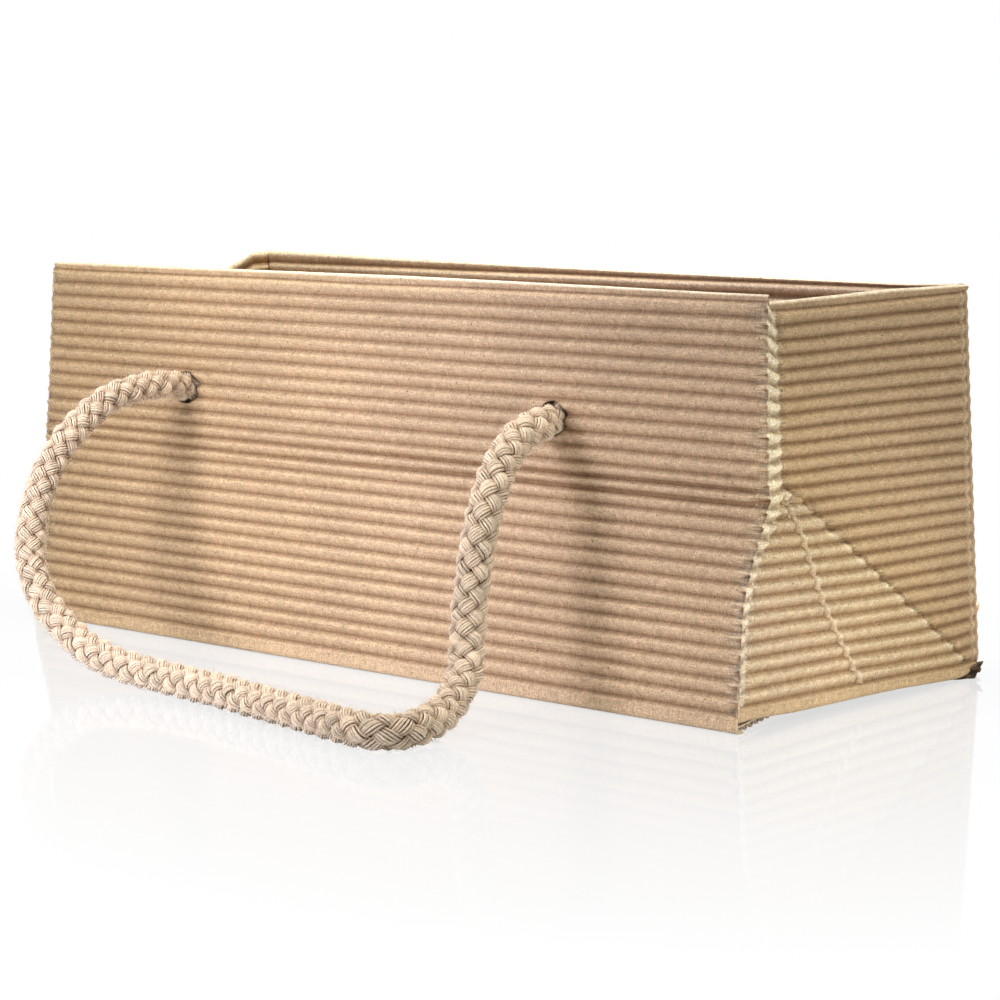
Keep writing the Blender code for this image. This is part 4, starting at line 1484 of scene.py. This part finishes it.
@dataclass
class CornerTip:
    """The crumpled tip of board that sticks out of a back bottom corner, in painted shade."""

    hand: float

    def make(self, material: bpy.types.Material) -> bpy.types.Object:
        """Builds the tip.

        Args:
            material: Its finish; the bag passes the dark copy of the board's, for painted shade.

        Returns:
            The tip, riding on the bag.
        """
        along, down = np.meshgrid(np.linspace(0.0, 1.0, 40), np.linspace(0.0, 1.0, 14))
        noise = np.stack([soft_noise(61 + k // 3, 40, 4.5) for k in range(14)])
        crumple = 0.60 * MM * noise * smooth(0.25, 0.8, along)
        layers = []
        for inner in (0.0, 0.45 * MM):
            x = (113.2 + 3.4 * along**1.5 + 1.0 * down * along) * MM + crumple - inner
            y = (33.0 + 11.4 * along - 4.4 * down * along) * MM - 0.5 * crumple
            z = ((1.0 + 2.4 * along**2) * (1.0 - down) + 0.15) * MM + 0.5 * np.abs(crumple) * (1.0 - down)
            layers.append(np.stack([self.hand * x, y, np.maximum(z, 0.1 * MM)], axis=-1))
        places = np.concatenate([layers[0], layers[1][::-1]])
        both = [np.concatenate([grid, grid[::-1]]) for grid in (along, down, noise)]
        edge = hump(np.minimum(both[1], 1.0 - both[1]), 0.0, 0.07)
        # Painted shade: the tip's tone stays close to the darkest.
        tone = np.clip(0.02 + 0.16 * both[2], 0.0, 1.0)
        name = "right" if self.hand > 0 else "left"
        run, arc, crush = places[..., 1], places[..., 2], np.ones_like(tone)
        sheet = SheetMesh(f"{name}_corner_tip", places, run, arc, tone, 0.35 * edge, crush)
        piece = sheet.make(material, flip=self.hand > 0)
        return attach(piece, "bag")


# Braided cords.


@dataclass(frozen=True)
class Braid:
    """Eight strands of six yarns each, four to the right and four to the left, one over one under.

    lay is the length of one turn. A strand's middle lies middle from the cord's own, give or take swing.
    half_width is half the strand, and step the spacing of the points along it.
    """

    lay: float = 19.8 * MM
    middle: float = 3.00 * MM
    swing: float = 0.78 * MM
    yarns: int = 6
    yarn_radius: float = 0.280 * MM
    half_width: float = 1.60 * MM
    step: float = 0.66 * MM
    sides: int = 6


@dataclass
class CordRoute:
    """A cord's middle line, resampled evenly, with frames that don't twist.

    swell is the cord's share of its full thickness at each of the points.
    """

    points: Array
    swell: Array
    step: float

    def __post_init__(self) -> None:
        """Works out the even samples and the frames."""
        fine, size = self.rounded()
        gaps = np.linalg.norm(np.diff(fine, axis=0), axis=1)
        run = np.concatenate([[0.0], np.cumsum(gaps)])
        self.length = float(run[-1])
        self.at = np.linspace(0.0, self.length, int(self.length / self.step) + 1)
        self.line = np.stack([np.interp(self.at, run, fine[:, k]) for k in range(3)], axis=1)
        self.size = np.interp(self.at, run, size)
        ahead = np.gradient(self.line, axis=0)
        self.ahead = ahead / np.linalg.norm(ahead, axis=1, keepdims=True)
        side = np.zeros_like(self.line)
        start = np.cross(self.ahead[0], (0.3, 0.2, 1.0))
        side[0] = start / np.linalg.norm(start)
        for index in range(1, len(side)):
            carried = side[index - 1] - self.ahead[index] * side[index - 1].dot(self.ahead[index])
            side[index] = carried / np.linalg.norm(carried)
        self.side = side
        self.top = np.cross(self.ahead, side)

    def rounded(self) -> tuple[Array, Array]:
        """Runs a smooth curve through the points.

        Returns:
            Fine points and the cord's share of its full thickness at each.
        """
        before = 2.0 * self.points[0] - self.points[1]
        after = 2.0 * self.points[-1] - self.points[-2]
        p = np.vstack([before, self.points, after])
        size = np.concatenate([self.swell[:1], self.swell, self.swell[-1:]])
        spots, sizes = [], []
        for index in range(1, len(p) - 2):
            for t in np.linspace(0.0, 1.0, 16, endpoint=False):
                a, b, c, d = p[index - 1 : index + 3]
                curve = (2 * a - 5 * b + 4 * c - d) * t * t + (3 * b - a - 3 * c + d) * t**3
                spots.append(0.5 * (2.0 * b + (c - a) * t + curve))
                sizes.append(size[index] * (1 - t) + size[index + 1] * t)
        spots.append(p[-2])
        sizes.append(size[-2])
        return np.array(spots), np.array(sizes)

    def spot(self, along: Array, around: Array, radius: Array) -> Array:
        """Places on or inside the cord.

        Args:
            along: Distances along the middle line.
            around: Angles about it.
            radius: Distances from it.

        Returns:
            The places.
        """
        out = []
        for field_values in (self.line, self.side, self.top):
            out.append(np.stack([np.interp(along, self.at, field_values[:, k]) for k in range(3)], axis=-1))
        size = np.interp(along, self.at, self.size)
        line, side, top = out
        scaled = (radius * size)[..., None]
        return line + scaled * (np.cos(around)[..., None] * side + np.sin(around)[..., None] * top)


@dataclass
class YarnBundle:
    """Tubes of yarn gathered into one piece, kept to one stretch of the cord."""

    name: str
    sides: int
    start: float
    end: float

    def __post_init__(self) -> None:
        """Starts with no tubes."""
        self.counts: list[int] = []
        self.places: list[Array] = []
        self.depths: list[Array] = []
        self.shades: list[Array] = []

    def add(self, line: Array, radius: Array, outward: Array, depth: Array, shade: float) -> None:
        """Adds one tube.

        Args:
            line: The tube's middle line.
            radius: Its radius at each point.
            outward: Directions away from the cord's middle, so that the seam lies inside.
            depth: Painted shade, 0 in the braid's hollows to 1 on top, at each point.
            shade: The yarn's own tone, about 0.5.
        """
        count = len(line)
        self.counts.append(count)
        ahead = np.gradient(line, axis=0)
        ahead /= np.linalg.norm(ahead, axis=1, keepdims=True)
        top = outward - ahead * np.sum(outward * ahead, axis=1, keepdims=True)
        top /= np.linalg.norm(top, axis=1, keepdims=True)
        side = np.cross(ahead, top)
        turn = np.pi + 2.0 * np.pi * np.arange(self.sides + 1) / self.sides
        ring = np.cos(turn)[None, :, None] * top[:, None, :] + np.sin(turn)[None, :, None] * side[:, None, :]
        self.places.append((line[:, None, :] + ring * radius[:, None, None]).reshape(-1, 3))
        self.depths.append(np.repeat(depth, self.sides + 1))
        self.shades.append(np.full(count * (self.sides + 1), shade))

    def make(self, material: bpy.types.Material) -> bpy.types.Object:
        """Closes the bundle.

        Args:
            material: The yarn's finish.

        Returns:
            The piece, at the origin.
        """
        mesh = bpy.data.meshes.new(self.name)
        tubes = bmesh.new()
        bmesh.ops.create_grid(tubes, x_segments=self.sides, y_segments=sum(self.counts) - 1, size=1.0)
        ends = set((np.cumsum(self.counts)[:-1] - 1).tolist())
        between = [face for face in tubes.faces if face.index // self.sides in ends]
        bmesh.ops.delete(tubes, geom=between, context="FACES_ONLY")
        for face in tubes.faces:
            face.smooth = True
        tubes.to_mesh(mesh)
        tubes.free()
        places = np.concatenate(self.places)
        places[:, 2] = np.maximum(places[:, 2], 0.03 * MM)
        mesh.vertices.foreach_set("co", places.ravel())
        for name, values in (("depth", self.depths), ("shade", self.shades)):
            layer = mesh.attributes.new(name, "FLOAT", "POINT")
            layer.data.foreach_set("value", np.concatenate(values))
        mesh.materials.append(material)
        mesh.update()
        return place_object(self.name, mesh)


# The front loop from the right hole to the left one, in millimetres: the CAD's cord, with lower holes.
LOOP_ROUTE = (
    (59.2, -51.6, 59.9), (59.8, -57.0, 56.6), (61.0, -61.5, 53.4), (62.3, -65.2, 49.8),
    (63.4, -69.2, 43.8), (64.0, -72.0, 36.8), (64.4, -74.2, 28.8), (65.0, -75.8, 22.6),
    (66.2, -77.6, 17.0), (67.9, -80.0, 12.6), (69.3, -83.9, 8.8), (70.9, -89.6, 6.0),
    (72.6, -96.4, 4.7), (73.0, -102.8, 4.2), (70.8, -107.2, 4.1), (66.4, -108.9, 4.1),
    (60.4, -108.3, 4.1), (53.6, -106.9, 4.1), (41.3, -104.6, 4.1), (29.1, -102.4, 4.1),
    (10.9, -99.3, 4.1), (-6.6, -97.8, 4.3), (-18.6, -98.0, 5.0), (-27.6, -98.2, 6.4),
    (-34.4, -97.9, 8.2), (-40.6, -97.5, 11.2), (-46.8, -97.4, 15.2), (-51.9, -96.9, 20.3),
    (-56.0, -95.4, 26.9), (-58.6, -92.4, 34.6), (-60.1, -87.9, 42.9), (-61.0, -82.0, 50.2),
    (-61.5, -76.3, 55.0), (-61.5, -70.0, 59.1), (-61.4, -64.4, 61.8), (-61.4, -58.2, 62.9),
    (-61.6, -51.0, 63.6),
)


@dataclass
class Handle:
    """One braided cord with its two stopper knots, from tail to tail.

    Front to back from the bag's middle, the knots end at knots_end; bend_start and bend_end are not used.
    The loose fibres leave bare_ends free and start at hair_foot from the cord's middle. Their length and
    radius are the least and the most, in millimetres.
    """

    name: str
    mirror: float
    seed: int
    braid: Braid = field(default_factory=Braid)
    diameter: float = 8.0 * MM
    knots_end: float = 36.0 * MM
    bend_start: float = 44.0 * MM
    bend_end: float = 58.0 * MM
    bend_height: float = 62.5 * MM
    hairs: int = 3600
    hair_foot: float = 3.55 * MM
    hair_length: tuple[float, float] = (0.8, 3.0)
    hair_radius: tuple[float, float] = (0.016, 0.034)
    bare_ends: float = 3.0 * MM

    def knot(self, centre: Point, hand: float) -> list[Point]:
        """An overhand knot, cut open where the cord goes on to its hole.

        Args:
            centre: The knot's middle, in millimetres.
            hand: 1 or -1 for a knot or its mirror image.

        Returns:
            Points from the hole's side to the tail.
        """
        ring, lift = 4.5, 2.7
        points = []
        for degrees in np.linspace(28.0, 332.0, 27):
            t = math.radians(degrees)
            size = ring + lift * math.cos(3.0 * t)
            points.append(
                (
                    centre[0] + hand * size * math.cos(2.0 * t),
                    centre[1] - lift * 1.1 * math.sin(3.0 * t),
                    centre[2] + size * math.sin(2.0 * t),
                )
            )
        tail = ((6.0, 3.3, -4.7), (9.0, 5.2, -6.3), (11.2, 8.0, -9.0), (12.2, 10.6, -12.4))
        for across, back, down in tail:
            points.append((centre[0] + hand * across, centre[1] + back, centre[2] + down))
        return points

    def route(self) -> CordRoute:
        """Lays the cord out.

        Returns:
            The whole cord's middle line.
        """
        right_knot = self.knot((57.2, -27.8, 62.6), 1.0)
        left_knot = self.knot((-62.4, -27.8, 62.6), -1.0)
        right_lead = [(57.2, -37.0, 62.5), (57.1, -40.0, 61.9), (58.0, -44.0, 61.4), (58.9, -47.5, 60.9)]
        left_lead = [(-61.9, -47.0, 63.4), (-62.3, -43.8, 63.0), (-62.8, -40.0, 62.5), (-62.5, -37.0, 62.5)]
        points = right_knot[::-1] + right_lead + list(LOOP_ROUTE) + left_lead + left_knot
        knotted = [0.76, 0.73, 0.70, 0.67] + [0.65] * (len(right_knot) - 4)
        sizes = knotted + [0.82, 0.92, 1.0, 1.04] + np.linspace(1.05, 0.93, len(LOOP_ROUTE)).tolist()
        sizes += [0.93, 0.92, 0.90, 0.80] + knotted[::-1]
        line = np.array(points) * MM
        line[:, 1] *= self.mirror
        line[:, 2] = np.maximum(line[:, 2], self.diameter / 2.0)
        return CordRoute(line, np.array(sizes), self.braid.step)

    def strand(
        self, bundles: list[YarnBundle], route: CordRoute, way: float, start: float, rng: np.random.Generator
    ) -> None:
        """Lays one strand's yarns round the cord.

        Args:
            bundles: The pieces that take them, one for each stretch of the cord.
            route: The cord.
            way: 1 for a right-hand strand, -1 for a left-hand one.
            start: The strand's angle at the cord's start.
            rng: Small unevenness.
        """
        braid = self.braid
        along = np.arange(0.0, route.length, braid.step)
        wave = np.cos(8.0 * np.pi * along / braid.lay) * way
        slope = math.atan(2.0 * math.pi * braid.middle / braid.lay)
        uneven = [soft_noise(int(rng.integers(1e6)), len(along), 9.0) for _ in range(1 + 3 * braid.yarns)]
        width = braid.half_width * (0.80 + 0.20 * wave) * (1.0 + 0.07 * uneven[0])
        base = braid.middle + braid.swing * wave
        turn = way * 2.0 * np.pi * along / braid.lay + start
        for yarn in range(braid.yarns):
            q = -1.0 + 2.0 * yarn / (braid.yarns - 1)
            shift = q * width * (1.0 - 0.5 / braid.yarns) + 0.08 * MM * uneven[3 * yarn + 1]
            radius = base - 0.32 * MM * q * q + 0.15 * MM * uneven[3 * yarn + 2]
            place = np.clip(along - math.sin(slope) * shift, 0.0, route.length)
            angle = turn + way * math.cos(slope) * shift / radius
            line = route.spot(place, angle, radius)
            outward = line - route.spot(place, angle, radius * 0.5)
            size = np.interp(place, route.at, route.size)
            thick = braid.yarn_radius * size * (0.95 + 0.08 * uneven[3 * yarn + 3])
            thick = thick * (0.15 + 0.85 * smooth(0.0, 1.2 * MM, np.minimum(place, route.length - place)))
            # Painted shade: depth is low where the strand dips under its neighbours and along its edges.
            depth = np.clip(0.62 + 0.40 * wave - 0.36 * q * q, 0.0, 1.0)
            shade = float(rng.uniform(0.2, 0.8))
            for bundle in bundles:
                held = (along >= bundle.start - braid.step) & (along <= bundle.end + braid.step)
                bundle.add(line[held], thick[held], outward[held], depth[held], shade)

    def fuzz(self, bundle: YarnBundle, route: CordRoute, rng: np.random.Generator) -> None:
        """Adds loose fibres that stand and curl off the yarns.

        Args:
            bundle: The piece that takes them.
            route: The cord.
            rng: Where they stand.
        """
        for _ in range(self.hairs):
            along = rng.uniform(bundle.start, bundle.end)
            length = rng.uniform(*self.hair_length) * MM
            steps = np.linspace(0.0, 1.0, 5)
            run = np.clip(along + rng.uniform(-1.0, 1.0) * length * steps, 0.0, route.length)
            angle = rng.uniform(0.0, 2.0 * np.pi) + rng.uniform(-0.6, 0.6) * steps
            rise = self.hair_foot + rng.uniform(0.35, 1.55) * MM * np.sin(rng.uniform(0.9, 2.6) * steps)
            line = route.spot(run, angle, rise)
            outward = line - route.spot(run, angle, rise * 0.5)
            thick = rng.uniform(*self.hair_radius) * MM * (1.0 - 0.7 * steps)
            bundle.add(line, thick, outward, np.ones(5), float(rng.uniform(0.4, 0.8)))

    def make(self, material: bpy.types.Material) -> list[bpy.types.Object]:
        """Builds the cord.

        Args:
            material: The yarn's finish.

        Returns:
            The strands with their loose fibres, and the knots.
        """
        route = self.route()
        rng = np.random.default_rng(self.seed)
        behind = np.flatnonzero(np.abs(route.line[:, 1]) > self.knots_end)
        first, last = float(route.at[behind[0]]), float(route.at[behind[-1]])
        side = self.name
        knots = [
            YarnBundle(f"{side}_cord_right_stopper", self.braid.sides, 0.0, first),
            YarnBundle(f"{side}_cord_left_stopper", self.braid.sides, last, route.length),
        ]
        loops = []
        for way, label in ((1.0, "right_hand"), (-1.0, "left_hand")):
            bundle = YarnBundle(f"{side}_{label}_strands", self.braid.sides, first, last)
            for number in range(4):
                self.strand([bundle, *knots], route, way, number * math.pi / 2.0, rng)
            loops.append(bundle.make(material))
        fibres = YarnBundle(f"{side}_cord_fibres", 3, first + self.bare_ends, last - self.bare_ends)
        self.fuzz(fibres, route, rng)
        loops.append(fibres.make(material))
        for piece in loops:
            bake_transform(piece)
        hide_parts(f"{side}_handle_cord", f"{side}_cord_left_end", f"{side}_cord_right_end")
        stoppers = [knot.make(material) for knot in knots]
        for stopper, hole in zip(stoppers, ("right", "left")):
            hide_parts(f"{side}_cord_{hole}_knot")
            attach(stopper, "bag")
        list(loops[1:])
        lengths = ((last - first) / MM, route.length / MM)
        log.info("%s cord: %.0f mm from knot to knot, %.0f mm in all", side, *lengths)
        return loops + stoppers


def main() -> None:
    """Builds the whole scene and reports each piece."""
    logging.basicConfig(level=logging.INFO, format="%(message)s")
    Camera().make()
    kraft, cotton = Kraft().make(), Cotton().make()
    # A dark copy of the kraft paper: painted shade for the inside of the cord holes and the corner tips.
    shaded = Kraft(
        name="kraft paper in the shade",
        crest=(0.150, 0.100, 0.064, 1.0),
        groove=(0.045, 0.027, 0.016, 1.0),
        pale_wear_and_highlight=(0.400, 0.310, 0.230, 1.0),
    ).make()
    pieces = Handle("front", 1.0, 3).make(cotton) + Handle("back", -1.0, 4).make(cotton)
    Studio().make()
    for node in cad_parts.values():
        node.data.materials.clear()
        node.data.materials.append(cotton if "cord" in node.name or "knot" in node.name else kraft)
    shape = BagShape()
    front_rim = ((-115.0, -60.0, 10.0, 70.0, 100.0, 115.0), (91.7, 91.9, 92.1, 91.8, 91.5, 91.5))
    back_rim = ((-115.0, -64.0, 5.0, 67.0, 100.0, 115.0), (92.6, 92.0, 91.3, 90.7, 90.4, 91.0))
    for wall in (LongWall(shape, True, front_rim), LongWall(shape, False, back_rim)):
        pieces.append(wall.make(kraft, shaded))
    right_rim = ((-37.0, -27.0, -9.0, 10.0, 24.0, 37.0), (90.0, 90.2, 90.5, 90.9, 90.8, 90.8))
    left_rim = ((-37.0, 0.0, 37.0), (91.2, 91.6, 92.3))
    left_sag = ((-38.0, -22.0, 0.0, 20.0, 30.0, 38.0), (0.0, 2.4, 3.9, 3.7, 1.8, 0.0))
    for wall in (SideWall(shape, 1.0, right_rim), SideWall(shape, -1.0, left_rim, left_sag)):
        pieces.append(wall.make(kraft))
    pieces += Bottom(shape).make(kraft) + [CornerTip(hand).make(shaded) for hand in (1.0, -1.0)]
    for piece in pieces:
        log.info("%s: %d faces", piece.name, len(piece.data.polygons))


if __name__ == "__main__":
    main()
